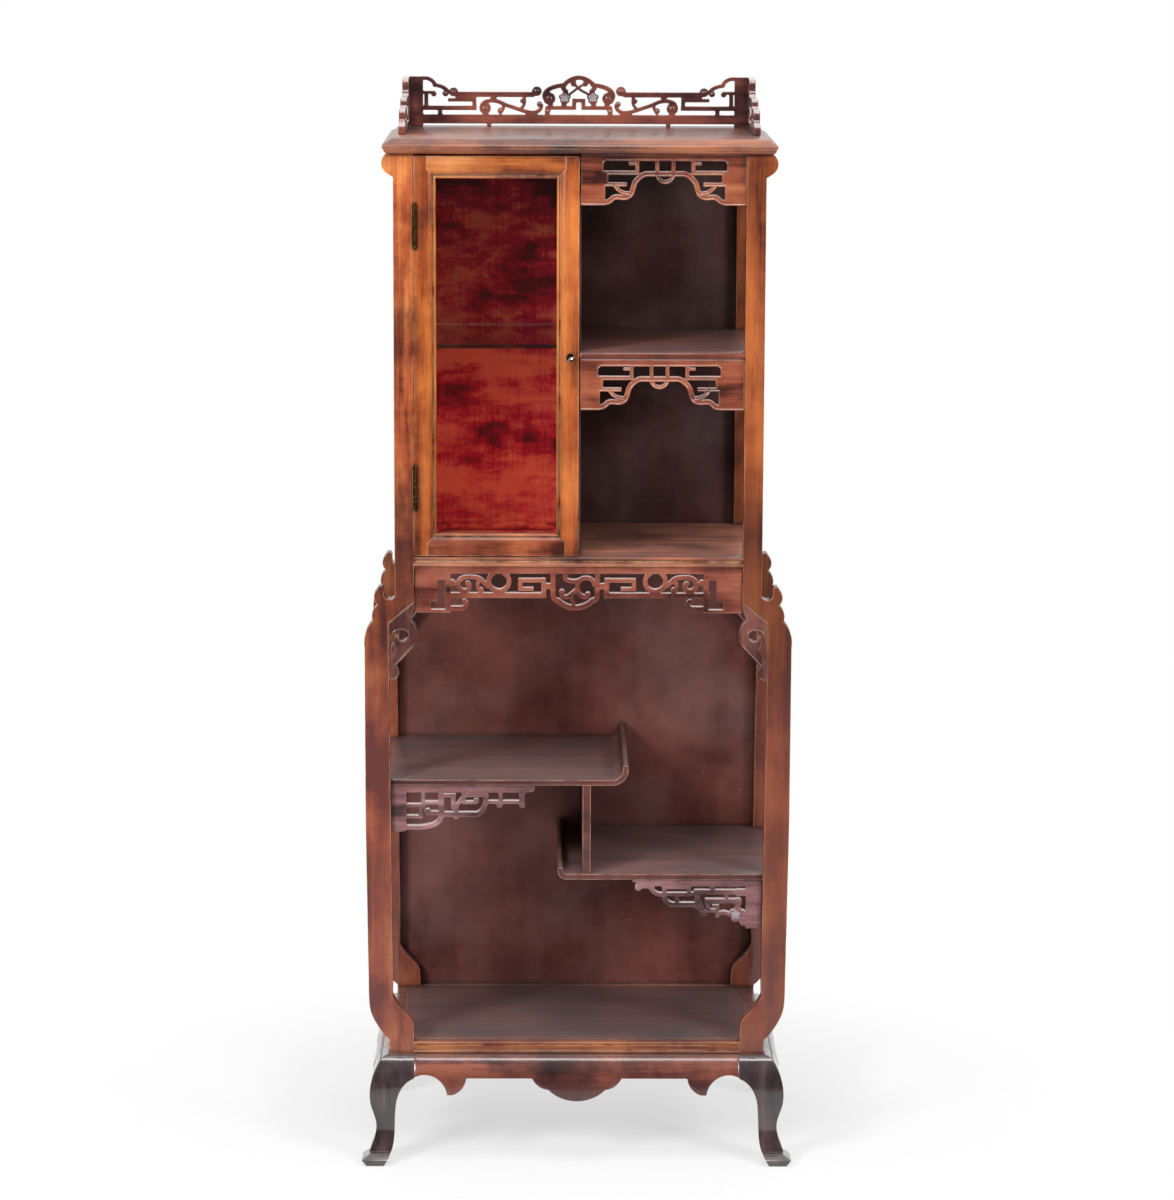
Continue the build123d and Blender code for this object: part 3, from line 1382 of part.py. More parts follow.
with BuildPart() as key:
    with BuildSketch(Plane.XZ.offset(-shank_tip)):
        with Locations((key_x, key_z)):
            Circle(key_radius)
    extrude(amount=bow_y - bow_length / 2 + 1.0 + shank_tip)
    with BuildSketch(key_plane.offset(-bow_thickness / 2)):
        with Locations((0, bow_y)):
            Ellipse(bow_width / 2, bow_length / 2)
            Ellipse(bow_width / 2 - 2.4, bow_length / 2 - 2.4, mode=Mode.SUBTRACT)
    extrude(amount=bow_thickness)
    with BuildSketch(key_plane.offset(-0.8)):
        block(-4.4, 0, -(bolt_front + bolt_thickness) + 0.5, -bolt_front - 0.5)
    extrude(amount=1.6)
save(key, "key")

with BuildPart() as escutcheon:
    with BuildSketch(Plane.XZ.offset(-(y_front + 2.0))):
        with Locations((key_x, key_z)):
            Circle(escutcheon_radius)
            Circle(keyhole_radius, mode=Mode.SUBTRACT)
    extrude(amount=2.6)
save(escutcheon, "escutcheon")

# ---------------------------------------------------------------- linings, glass shelf and its pegs
lining_front = y_front + 34.0
lined_back_y = y_back_post - lined_back_thickness
lining_floor_top = z_mid_top + velvet - 0.3
shelf_front = door_back_y + glass_shelf_setback + 1.0

with BuildPart() as lining_left:
    box_piece(side_panel_right, side_panel_right + velvet, y_front_post, lined_back_y, lining_floor_top, z_case_top)
    with BuildSketch(Plane.YZ.offset(side_panel_right)):
        with Locations(*[(y, peg_z) for y in peg_y]):
            Circle(peg_radius + 0.1)
    extrude(amount=velvet, mode=Mode.SUBTRACT)
save(lining_left, "lining_left")

with BuildPart() as lining_right:
    box_piece(partition_left - velvet, partition_left, lining_front, lined_back_y, lining_floor_top, z_case_top)
    with BuildSketch(Plane.YZ.offset(partition_left)):
        with Locations(*[(y, peg_z) for y in peg_y]):
            Circle(peg_radius + 0.1)
    extrude(amount=-velvet, mode=Mode.SUBTRACT)
save(lining_right, "lining_right")

with BuildPart() as lining_back:
    box_piece(side_panel_right, partition_left, lined_back_y, y_back_post, lining_floor_top, z_case_top)
save(lining_back, "lining_back")

with BuildPart() as lining_floor:
    box_piece(-upper_inner, partition_left, door_back_y + 1.0, y_front_post, z_mid_top, lining_floor_top)
    box_piece(side_panel_right, partition_left, y_front_post, y_back_post, z_mid_top, lining_floor_top)
save(lining_floor, "lining_floor")

with BuildPart() as glass_shelf:
    box_piece(
        side_panel_right + velvet + 0.5, partition_left - velvet - 0.5, shelf_front, lined_back_y - 1.0,
        glass_shelf_bottom, glass_shelf_bottom + glass_shelf_thickness,
    )
save(glass_shelf, "glass_shelf")

with BuildPart() as shelf_pegs:
    for y in peg_y:
        for x, direction in ((side_panel_right, 1), (partition_left, -1)):
            with BuildSketch(Plane(origin=(x, y, peg_z), z_dir=(direction, 0, 0))):
                Circle(peg_radius)
            extrude(amount=peg_length)
save(shelf_pegs, "shelf_pegs")
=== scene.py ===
"""Looks of a carved hardwood display cabinet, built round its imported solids.

The cabinet is lacquered hardwood: a low stand on cabriole legs, an open case with stepped shelves,
an upper case with a glazed cupboard lined in velvet, pierced frets and a gallery. Lengths are in metres
unless a name ends in _mm, +X is the cabinet's right seen from the front, -Y its front, +Z up.
"""

import logging
import math
from dataclasses import dataclass, field
from enum import Enum

import bpy
from mathutils import Matrix, Vector, noise


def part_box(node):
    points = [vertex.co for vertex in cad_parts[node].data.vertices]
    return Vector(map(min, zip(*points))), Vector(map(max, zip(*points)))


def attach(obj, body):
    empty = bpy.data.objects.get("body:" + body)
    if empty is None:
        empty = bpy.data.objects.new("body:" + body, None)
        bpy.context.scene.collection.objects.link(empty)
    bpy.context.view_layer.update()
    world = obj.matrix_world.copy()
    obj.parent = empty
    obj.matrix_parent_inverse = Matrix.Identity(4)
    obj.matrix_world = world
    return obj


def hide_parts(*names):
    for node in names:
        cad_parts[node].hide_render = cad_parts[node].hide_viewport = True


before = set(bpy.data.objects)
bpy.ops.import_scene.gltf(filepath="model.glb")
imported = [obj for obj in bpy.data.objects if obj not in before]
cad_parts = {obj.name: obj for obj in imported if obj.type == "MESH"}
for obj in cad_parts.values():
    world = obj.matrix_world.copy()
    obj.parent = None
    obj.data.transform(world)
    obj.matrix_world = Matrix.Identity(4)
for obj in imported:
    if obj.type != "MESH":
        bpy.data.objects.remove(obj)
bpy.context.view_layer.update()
LOG = logging.getLogger("display_cabinet")
MM = 0.001

Material = bpy.types.Material
Node = bpy.types.Node
Piece = bpy.types.Object
Socket = bpy.types.NodeSocket
Stops = tuple[tuple[float, str], ...]
Tree = bpy.types.NodeTree


# ------------------------------------------------------------------ colour and node helpers
def srgb(code: str) -> tuple[float, float, float, float]:
    """Turn an sRGB hex colour into the linear colour that a shader wants.

    Args:
        code: six hex digits.

    Returns:
        Linear red, green, blue and an alpha of one.
    """
    parts = [int(code[i:i + 2], 16) / 255 for i in (0, 2, 4)]
    linear = [p / 12.92 if p <= 0.04045 else ((p + 0.055) / 1.055) ** 2.4 for p in parts]
    return (linear[0], linear[1], linear[2], 1.0)


def set_inputs(tree: Tree, node: Node, inputs: dict) -> None:
    """Give a node's inputs their values, or link them to the sockets that feed them.

    Args:
        tree: the tree that the node is in.
        node: the node.
        inputs: input name or number to a value or a socket.
    """
    for key, value in inputs.items():
        if isinstance(value, Socket):
            tree.links.new(value, node.inputs[key])
        else:
            node.inputs[key].default_value = value


def add_node(
    tree: Tree, kind: str, inputs: dict | None = None, stops: Stops = (), **settings: object
) -> Node:
    """Add a node to a tree, with its settings, its unlinked values and its links.

    Args:
        tree: the node tree of a material or of the world.
        kind: the node's type, without the leading ShaderNode.
        inputs: input name or number to a value, or to the socket that feeds it.
        stops: position and sRGB hex code of each stop, where the node is a colour ramp.
        settings: properties of the node.

    Returns:
        The new node.
    """
    made = tree.nodes.new("ShaderNode" + kind)
    for key, value in settings.items():
        setattr(made, key, value)
    set_inputs(tree, made, inputs or {})
    while stops and len(made.color_ramp.elements) < len(stops):
        made.color_ramp.elements.new(0.5)
    for count, (position, code) in enumerate(stops):
        element = made.color_ramp.elements[count]
        element.position = position
        element.color = srgb(code)
    return made


@dataclass
class Recipe:
    """A material being built: its node tree and the shader its nodes feed."""

    material: Material

    @classmethod
    def start(cls, name: str) -> "Recipe":
        """Make an empty material with a principled shader.

        Args:
            name: the material's name.

        Returns:
            The recipe, ready for its nodes.
        """
        material = bpy.data.materials.new(name)
        material.use_nodes = True
        return cls(material)

    @property
    def tree(self) -> Tree:
        """The material's node tree."""
        return self.material.node_tree

    @property
    def shader(self) -> Node:
        """The principled shader."""
        return self.tree.nodes["Principled BSDF"]

    def node(self, kind: str, inputs: dict | None = None, **settings: object) -> Node:
        """Add a node to the material's tree, as add_node does."""
        return add_node(self.tree, kind, inputs, **settings)

    def feed(self, **inputs: object) -> None:
        """Set or link the shader's inputs, named with underscores for blanks."""
        set_inputs(self.tree, self.shader, {key.replace("_", " "): value for key, value in inputs.items()})

    def show(self, surface: Socket) -> None:
        """Make a shader what the material shows."""
        set_inputs(self.tree, self.tree.nodes["Material Output"], {"Surface": surface})


class Grain(Enum):
    """The way a board's grain runs."""

    ACROSS = (1.0, 0.0, 0.0)
    UPRIGHT = (0.0, 0.0, 1.0)


ABOVE_TOP = 2.0  # a height over the cabinet's top, where no stain drops
SHOW_THROUGH = 0.35  # how much of the plain stain shows through the darker colour below the drop
FADE_TOP, FADE_FOOT = 0.12, 0.30  # below the drop, where the deep colour starts and ends giving way to the foot colour
# painted shade and grime: the dark colour laid into hollows and along joints
GRIME_AND_SHADE = "1c0c0a"
# painted light from above, partly dust: the pale colour of faces that look up
TOP_LIGHT_AND_DUST = "cfc3c2"
DUST = "94807c"
SPECK_SHARE, FILM_SHARE = 0.7, 0.45  # how much of the dust is in specks, and how much in a film


@dataclass(frozen=True)
class LacqueredWood:
    """Stained hardwood under old lacquer: fine grain, streaked stain, grime and painted shade in the hollows,
    rubbed edges with painted highlights, dust and painted light from above on top faces.

    The stain runs from dark over middle to light, and rubbed is the pale colour at the edges: partly bare
    wood, partly painted highlight. Where it drops, from drop_from down to drop_to, it gives way to deep, and
    further down to foot.
    """

    name: str
    grain: Grain
    dark: str
    middle: str
    light: str
    rubbed: str
    roughness: float = 0.30
    rub_and_glint: float = 0.7
    coat: float = 0.15
    specular: float = 0.35
    streak: float = 0.5
    top_light_and_dust: float = 0.12
    dust: float = 0.0
    drop_from: float = ABOVE_TOP
    drop_to: float = ABOVE_TOP
    drop_floor: float = 0.42
    deep: str = ""
    foot: str = ""
    grime_and_shade: float = 0.75
    figure: float = 0.40
    blotch: float = 0.45
    bump: float = 0.10
    pores: float = 0.15

    def make(self) -> Material:
        """Build the material.

        Returns:
            The finished material.
        """
        mix = Recipe.start(self.name)
        place = mix.node("TexCoord").outputs["Object"]
        fine, drift = self.grain_noise(mix, place)
        colour = self.stained(mix, place, fine, drift)
        colour = self.grimed_and_shaded(mix, place, colour)
        colour = self.rubbed_and_glinting_edges(mix, place, colour)
        colour = self.dusted_and_top_lit(mix, place, colour)
        sheen = mix.node(
            "MapRange",
            {"Value": drift, "To Min": self.roughness - 0.08, "To Max": self.roughness + 0.12},
        )
        bump = mix.node("Bump", {"Height": fine, "Strength": self.bump, "Distance": 0.0004})
        mix.feed(Base_Color=colour, Roughness=sheen.outputs[0], Normal=bump.outputs[0])
        mix.feed(Coat_Weight=self.coat, Coat_Roughness=0.10, Specular_IOR_Level=self.specular)
        return mix.material

    def grain_noise(self, mix: Recipe, place: Socket) -> tuple[Socket, Socket]:
        """Draw the pores and the broad drift of the stain.

        Args:
            mix: the recipe.
            place: object coordinates.

        Returns:
            The pores, and the drift.
        """
        # grain: pores about 2 mm across the board and 60 mm along it
        pore_scale = tuple(16.0 if a else 420.0 for a in self.grain.value)
        pores = mix.node("Mapping", {"Vector": place, "Scale": pore_scale})
        fine = mix.node(
            "TexNoise", {"Vector": pores.outputs[0], "Scale": 1.0, "Detail": 5.0, "Roughness": 0.65}
        )
        # drift: stain that has faded in patches a hand wide
        drift = mix.node("TexNoise", {"Vector": place, "Scale": 7.0, "Detail": 5.0, "Roughness": 0.6})
        return fine.outputs[0], drift.outputs[0]

    def stained(self, mix: Recipe, place: Socket, fine: Socket, drift: Socket) -> Socket:
        """Colour the wood: figure, drift, dark streaks, and darker colours below a given height.

        Args:
            mix: the recipe.
            place: object coordinates.
            fine: the pores.
            drift: the broad drift.

        Returns:
            The stain's colour.
        """
        # figure: growth bands about 25 mm wide that wander along the board
        band_scale = tuple(2.4 if a else 38.0 for a in self.grain.value)
        bands = mix.node("Mapping", {"Vector": place, "Scale": band_scale})
        figure = mix.node(
            "TexNoise", {"Vector": bands.outputs[0], "Scale": 1.0, "Detail": 3.0, "Distortion": 0.8}
        )
        part = mix.node("Math", {0: fine, 1: self.pores}, operation="MULTIPLY")
        part = mix.node(
            "Math", {0: figure.outputs[0], 1: self.figure, 2: part.outputs[0]}, operation="MULTIPLY_ADD"
        )
        total = mix.node("Math", {0: drift, 1: self.blotch, 2: part.outputs[0]}, operation="MULTIPLY_ADD")
        half = 0.5 * (self.pores + self.figure + self.blotch)
        stops = ((half - 0.10, self.dark), (half, self.middle), (half + 0.12, self.light))
        stain = mix.node("ValToRGB", {"Fac": total.outputs[0]}, stops=stops)
        # streaks: runs of dark stain, about 60 mm wide and 160 mm long
        run_scale = tuple(6.0 if a else 16.0 for a in self.grain.value)
        runs = mix.node("Mapping", {"Vector": place, "Scale": run_scale, "Location": (3.1, 1.7, 5.3)})
        run = mix.node("TexNoise", {"Vector": runs.outputs[0], "Scale": 1.0, "Detail": 4.0, "Roughness": 0.7})
        amount = mix.node(
            "MapRange", {"Value": run.outputs[0], "From Min": 0.50, "From Max": 0.68, "To Max": self.streak}
        )
        colour = mix.node(
            "Mix", {0: amount.outputs[0], 6: stain.outputs[0], 7: srgb(self.dark)}, data_type="RGBA"
        )
        if self.drop_from >= ABOVE_TOP:
            return colour.outputs[2]
        height = mix.node("SeparateXYZ", {0: place})
        fall = mix.node(
            "MapRange",
            {"Value": height.outputs["Z"], "From Min": self.drop_to, "From Max": self.drop_from,
             "To Min": self.drop_floor, "To Max": 1.0},
        )
        # a darker colour just below the drop, which gives way to the foot colour a forearm further down
        spread = mix.node(
            "MapRange",
            {"Value": height.outputs["Z"], "From Min": self.drop_to - FADE_FOOT,
             "From Max": self.drop_to - FADE_TOP},
        )
        stained = mix.node(
            "Mix",
            {0: spread.outputs[0], 6: srgb(self.foot or self.dark), 7: srgb(self.deep or self.dark)},
            data_type="RGBA",
        )
        below = mix.node(
            "Mix", {0: SHOW_THROUGH, 6: stained.outputs[2], 7: colour.outputs[2]}, data_type="RGBA"
        )
        mixed = mix.node(
            "Mix", {0: fall.outputs[0], 6: below.outputs[2], 7: colour.outputs[2]}, data_type="RGBA"
        )
        return mixed.outputs[2]

    def grimed_and_shaded(self, mix: Recipe, place: Socket, colour: Socket) -> Socket:
        """Darken the hollows and the joints: partly old polish and dirt, partly painted shade.

        Args:
            mix: the recipe.
            place: object coordinates.
            colour: the clean colour.

        Returns:
            The colour with its grime and painted shade.
        """
        # painted shade and grime: a hollow is where less than nine tenths of the sky within 9 mm is open
        open_sky = mix.node("AmbientOcclusion", {"Distance": 0.009}, samples=6).outputs["AO"]
        hollow = mix.node(
            "MapRange", {"Value": open_sky, "From Min": 0.92, "From Max": 0.50, "To Max": self.grime_and_shade}
        )
        patch = mix.node("TexNoise", {"Vector": place, "Scale": 25.0, "Detail": 3.0})
        uneven = mix.node(
            "MapRange",
            {"Value": patch.outputs[0], "From Min": 0.30, "From Max": 0.60, "To Min": 0.55, "To Max": 1.0},
        )
        amount = mix.node("Math", {0: hollow.outputs[0], 1: uneven.outputs[0]}, operation="MULTIPLY")
        # painted shade, partly grime: the hollows are mixed towards the dark colour
        dirty_and_shaded = mix.node("Mix", {0: amount.outputs[0], 6: colour, 7: srgb(GRIME_AND_SHADE)}, data_type="RGBA")
        return dirty_and_shaded.outputs[2]

    def rubbed_and_glinting_edges(self, mix: Recipe, place: Socket, colour: Socket) -> Socket:
        """Pale the edges: partly bare wood where handling has rubbed them, partly painted highlights where
        they catch the light.

        Args:
            mix: the recipe.
            place: object coordinates.
            colour: the colour before rubbing.

        Returns:
            The colour with its rubbed edges and painted edge highlights.
        """
        # an edge is where the normal, evened out over 2.4 mm, leaves the surface's own
        normal = mix.node("NewGeometry").outputs["Normal"]
        soft = mix.node("Bevel", {"Radius": 0.0024}, samples=4).outputs[0]
        agree = mix.node("VectorMath", {0: normal, 1: soft}, operation="DOT_PRODUCT")
        edge = mix.node(
            "MapRange", {"Value": agree.outputs["Value"], "From Min": 0.995, "From Max": 0.86, "To Max": 1.0}
        )
        patch = mix.node("TexNoise", {"Vector": place, "Scale": 38.0, "Detail": 4.0})
        broken = mix.node(
            "MapRange", {"Value": patch.outputs[0], "From Min": 0.34, "From Max": 0.54, "To Max": self.rub_and_glint}
        )
        rubbed = mix.node("Math", {0: edge.outputs[0], 1: broken.outputs[0]}, operation="MULTIPLY")
        # painted highlight and wear: the edges turn towards the pale rubbed colour
        worn_and_glinting = mix.node("Mix", {0: rubbed.outputs[0], 6: colour, 7: srgb(self.rubbed)}, data_type="RGBA")
        return worn_and_glinting.outputs[2]

    def dusted_and_top_lit(self, mix: Recipe, place: Socket, colour: Socket) -> Socket:
        """Lay painted light from above, partly dust, on faces that look up, and specks of dust on boards that
        are never wiped.

        Args:
            mix: the recipe.
            place: object coordinates.
            colour: the clean colour.

        Returns:
            The dusty colour.
        """
        facing = mix.node("SeparateXYZ", {0: mix.node("NewGeometry").outputs["Normal"]})
        # painted light from above, partly dust: faces that look up turn towards the pale colour
        up = mix.node(
            "MapRange",
            {"Value": facing.outputs["Z"], "From Min": 0.35, "From Max": 0.90, "To Max": self.top_light_and_dust},
        )
        top_lit_and_dusted = mix.node("Mix", {0: up.outputs[0], 6: colour, 7: srgb(TOP_LIGHT_AND_DUST)}, data_type="RGBA")
        if self.dust <= 0:
            return top_lit_and_dusted.outputs[2]
        # specks 1 to 3 mm across
        specks = mix.node("TexVoronoi", {"Vector": place, "Scale": 55.0})
        speck = mix.node(
            "MapRange",
            {"Value": specks.outputs["Distance"], "From Min": 0.11, "From Max": 0.04,
             "To Max": SPECK_SHARE * self.dust},
        )
        clouds = mix.node("TexNoise", {"Vector": place, "Scale": 9.0, "Detail": 4.0})
        film = mix.node(
            "MapRange",
            {"Value": clouds.outputs[0], "From Min": 0.40, "From Max": 0.70,
             "To Max": FILM_SHARE * self.dust},
        )
        both = mix.node("Math", {0: speck.outputs[0], 1: film.outputs[0]}, operation="MAXIMUM")
        dusty = mix.node("Mix", {0: both.outputs[0], 6: top_lit_and_dusted.outputs[2], 7: srgb(DUST)}, data_type="RGBA")
        return dusty.outputs[2]


@dataclass(frozen=True)
class WornVelvet:
    """Silk velvet, its pile crushed in clouds: deep crimson with rubbed orange-pink lights.

    Attributes:
        name: the material's name.
        shadow: colour of the pile seen end on.
        pile: colour of the pile as it stands.
        crushed: colour where it is pressed flat.
        sheen: tint of the light that grazes it.
        pile_share: how much the brushed lines and the tufts add to the clouds.
    """

    name: str
    shadow: str = "6a1020"
    pile: str = "d02444"
    crushed: str = "ff9070"
    sheen: str = "ff5c40"
    pile_share: float = 0.10

    def make(self) -> Material:
        """Build the material.

        Returns:
            The finished material.
        """
        mix = Recipe.start(self.name)
        place = mix.node("TexCoord").outputs["Object"]
        # clouds: pile pressed down in patches 60 to 150 mm across
        wide = mix.node("Mapping", {"Vector": place, "Scale": (8.0, 8.0, 17.0)})
        clouds = mix.node(
            "TexNoise",
            {"Vector": wide.outputs[0], "Scale": 1.0, "Detail": 9.0, "Roughness": 0.66, "Distortion": 0.15},
        )
        # brushed: the pile leans along fine upright lines, 2 to 5 mm apart
        lines = mix.node("Mapping", {"Vector": place, "Scale": (260.0, 260.0, 14.0)})
        brushed = mix.node("TexNoise", {"Vector": lines.outputs[0], "Scale": 1.0, "Detail": 2.0})
        # tufts about 1 mm across
        tufts = mix.node("TexNoise", {"Vector": place, "Scale": 900.0, "Detail": 2.0})
        height = mix.node("SeparateXYZ", {0: place})
        # painted shade: darker towards the top, under the door's top rail and the cornice; lighter and more
        # crushed lower down
        top_shade = mix.node(
            "MapRange",
            {"Value": height.outputs["Z"], "From Min": 1.25, "From Max": 1.62, "To Min": 0.05,
             "To Max": -0.08},
        )
        lifted = mix.node("Math", {0: clouds.outputs[0], 1: top_shade.outputs[0]}, operation="ADD")
        for fine in (brushed, tufts):
            lifted = mix.node(
                "Math",
                {0: fine.outputs[0], 1: self.pile_share, 2: lifted.outputs[0]},
                operation="MULTIPLY_ADD",
            )
        stops = ((0.50, self.shadow), (0.60, self.pile), (0.72, self.crushed))
        colour = mix.node("ValToRGB", {"Fac": lifted.outputs[0]}, stops=stops)
        bump = mix.node("Bump", {"Height": tufts.outputs[0], "Strength": 0.5, "Distance": 0.0006})
        mix.feed(Base_Color=colour.outputs[0], Normal=bump.outputs[0])
        mix.feed(Roughness=0.95, Specular_IOR_Level=0.1)
        mix.feed(Sheen_Weight=0.25, Sheen_Roughness=0.4, Sheen_Tint=srgb(self.sheen))
        return mix.material


@dataclass(frozen=True)
class PlateGlass:
    """Clear plate glass with a trace of green and a few wiped smears."""

    name: str
    tint: str = "fbfdfc"
    smear: str = "f1f6f3"
    film: float = 0.02
    index: float = 1.25

    def make(self) -> Material:
        """Build the material.

        Returns:
            The finished material.
        """
        mix = Recipe.start(self.name)
        place = mix.node("TexCoord").outputs["Object"]
        # smears: wiped film in streaks 40 mm wide
        smears = mix.node("TexNoise", {"Vector": place, "Scale": 24.0, "Detail": 4.0})
        rough = mix.node(
            "MapRange", {"Value": smears.outputs[0], "From Min": 0.55, "From Max": 0.8, "To Max": self.film}
        )
        stops = ((0.4, self.tint), (0.8, self.smear))
        colour = mix.node("ValToRGB", {"Fac": smears.outputs[0]}, stops=stops)
        mix.feed(Base_Color=colour.outputs[0], Roughness=rough.outputs[0])
        mix.feed(Transmission_Weight=1.0, IOR=self.index)
        # daylight passes the pane, so that the velvet behind it is lit
        through = mix.node("BsdfTransparent", {"Color": srgb("f4f8f6")})
        lamp = mix.node("LightPath").outputs["Is Shadow Ray"]
        either = mix.node("MixShader", {0: lamp, 1: mix.shader.outputs[0], 2: through.outputs[0]})
        mix.show(either.outputs[0])
        return mix.material


@dataclass(frozen=True)
class OldMetal:
    """Handled metal: a bright alloy under patches of brown tarnish."""

    name: str
    bright: str
    tarnish: str
    spread: float = 0.5
    roughness: float = 0.34

    def make(self) -> Material:
        """Build the material.

        Returns:
            The finished material.
        """
        mix = Recipe.start(self.name)
        place = mix.node("TexCoord").outputs["Object"]
        # tarnish in spots 3 to 8 mm across
        spots = mix.node("TexNoise", {"Vector": place, "Scale": 190.0, "Detail": 5.0})
        stops = ((self.spread - 0.16, self.bright), (self.spread + 0.12, self.tarnish))
        colour = mix.node("ValToRGB", {"Fac": spots.outputs[0]}, stops=stops)
        rough = mix.node(
            "MapRange",
            {"Value": spots.outputs[0], "From Min": 0.3, "From Max": 0.7, "To Min": self.roughness,
             "To Max": self.roughness + 0.25},
        )
        scratches = mix.node("TexNoise", {"Vector": place, "Scale": 1400.0, "Detail": 2.0})
        bump = mix.node("Bump", {"Height": scratches.outputs[0], "Strength": 0.12, "Distance": 0.0002})
        mix.feed(Base_Color=colour.outputs[0], Roughness=rough.outputs[0], Normal=bump.outputs[0])
        mix.feed(Metallic=1.0)
        return mix.material


# ------------------------------------------------------------------ modelling helpers
WELD_MM = 0.02  # corners closer than this are one corner
FLAT_DEG = 0.5  # facets closer in slope than this are one face
SHARP_DEG = 38  # an edge sharper than this is eased
CREASE_DEG = 40  # an edge sharper than this still shows as a crease
SQUARE_ON = 0.99  # a face looks the show side's way when its normal agrees this far
FLUSH_MM = 0.1  # and it is on the show side when it is within this of it
SLOPE_MM = 0.4  # width of the slope between a fret's raised thread and its field


def pick_only(piece: Piece) -> None:
    """Make one object the whole selection and the active one."""
    if bpy.context.object and bpy.context.object.mode != "OBJECT":
        bpy.ops.object.mode_set(mode="OBJECT")
    bpy.ops.object.select_all(action="DESELECT")
    piece.select_set(True)
    bpy.context.view_layer.objects.active = piece


def apply_all(piece: Piece) -> None:
    """Apply every modifier of a piece, in order."""
    pick_only(piece)
    for modifier in list(piece.modifiers):
        bpy.ops.object.modifier_apply(modifier=modifier.name)


def workpiece(node: str, name: str) -> Piece:
    """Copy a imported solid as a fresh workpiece, with its corners joined and flat faces whole.

    Args:
        node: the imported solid's name.
        name: the workpiece's name.

    Returns:
        The copy, at the origin, on no body yet.
    """
    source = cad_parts[node]
    piece = source.copy()
    piece.data = source.data.copy()
    piece.name = name
    piece.parent = None
    piece.matrix_world = Matrix.Identity(4)
    for key in list(piece.keys()):
        del piece[key]
    bpy.context.scene.collection.objects.link(piece)
    piece.hide_render = False
    piece.hide_viewport = False
    pick_only(piece)
    if piece.data.has_custom_normals:
        bpy.ops.mesh.customdata_custom_splitnormals_clear()
    bpy.ops.object.mode_set(mode="EDIT")
    bpy.ops.mesh.select_all(action="SELECT")
    bpy.ops.mesh.remove_doubles(threshold=WELD_MM * MM)
    bpy.ops.mesh.dissolve_limited(angle_limit=math.radians(FLAT_DEG))
    bpy.ops.object.mode_set(mode="OBJECT")
    piece.data.materials.clear()
    return piece


def ease_edges(piece: Piece, width_mm: float, segments: int = 2) -> None:
    """Round every sharp edge of a workpiece, as sandpaper does.

    Args:
        piece: the workpiece.
        width_mm: how far the rounding reaches from the edge.
        segments: facets across the rounding.
    """
    bevel = piece.modifiers.new("eased", "BEVEL")
    bevel.width = width_mm * MM
    bevel.segments = segments
    bevel.limit_method = "ANGLE"
    bevel.angle_limit = math.radians(SHARP_DEG)
    bevel.use_clamp_overlap = True
    apply_all(piece)
    bpy.ops.object.shade_smooth_by_angle(angle=math.radians(CREASE_DEG))


def sink_field(piece: Piece, face: Vector, lip_mm: float, depth_mm: float) -> None:
    """Sink the field of a fret's show side, so that a raised thread runs along every edge.

    Args:
        piece: the workpiece.
        face: the way the show side looks.
        lip_mm: width of the raised thread.
        depth_mm: depth of the field behind it.
    """
    level = max(corner.co.dot(face) for corner in piece.data.vertices)
    pick_only(piece)
    bpy.ops.object.mode_set(mode="EDIT")
    bpy.ops.mesh.select_mode(type="FACE")
    bpy.ops.mesh.select_all(action="DESELECT")
    bpy.ops.object.mode_set(mode="OBJECT")
    for polygon in piece.data.polygons:
        flush = abs(polygon.center.dot(face) - level) < FLUSH_MM * MM
        polygon.select = polygon.normal.dot(face) > SQUARE_ON and flush
    bpy.ops.object.mode_set(mode="EDIT")
    bpy.ops.mesh.inset(thickness=lip_mm * MM, depth=0.0, use_even_offset=True)
    bpy.ops.mesh.inset(thickness=SLOPE_MM * MM, depth=0.0, use_even_offset=True)
    bpy.ops.transform.translate(value=tuple(-face * depth_mm * MM))
    bpy.ops.object.mode_set(mode="OBJECT")


def boss(piece: Piece, place: Vector, face: Vector, radius_mm: float, height_mm: float) -> None:
    """Raise a round boss on the show side of a fret, the eye of a volute or a petal.

    Args:
        piece: the workpiece that it grows from.
        place: its middle, on the show side.
        face: the way the show side looks.
        radius_mm: its radius.
        height_mm: how far it stands out.
    """
    bpy.ops.object.select_all(action="DESELECT")
    bpy.ops.mesh.primitive_uv_sphere_add(segments=20, ring_count=10, radius=radius_mm * MM, location=place)
    knob = bpy.context.object
    squeeze = height_mm / radius_mm
    bpy.ops.object.mode_set(mode="EDIT")
    bpy.ops.mesh.select_all(action="SELECT")
    bpy.ops.transform.resize(value=tuple(1 - (1 - squeeze) * abs(axis) for axis in face))
    bpy.ops.object.mode_set(mode="OBJECT")
    bpy.ops.object.select_all(action="DESELECT")
    knob.select_set(True)
    piece.select_set(True)
    bpy.context.view_layer.objects.active = piece
    bpy.ops.object.join()


def carve_round(piece: Piece, grain_mm: float, passes: int, fullness_mm: float) -> None:
    """Turn a sawn fret into a carved one: every edge worked round with a gouge and rubbed smooth.

    Args:
        piece: the workpiece.
        grain_mm: size of the finest facet.
        passes: how many times it is rubbed.
        fullness_mm: what is left on for the rubbing to take off.
    """
    carved = piece.modifiers.new("carved", "REMESH")
    carved.mode = "VOXEL"
    carved.voxel_size = grain_mm * MM
    full = piece.modifiers.new("full", "DISPLACE")
    full.strength = fullness_mm * MM
    full.mid_level = 0.0
    rubbed = piece.modifiers.new("rubbed", "SMOOTH")
    rubbed.factor = 0.5
    rubbed.iterations = passes
    thinned = piece.modifiers.new("thinned", "DECIMATE")
    thinned.ratio = 0.4
    apply_all(piece)
    bpy.ops.object.shade_smooth()


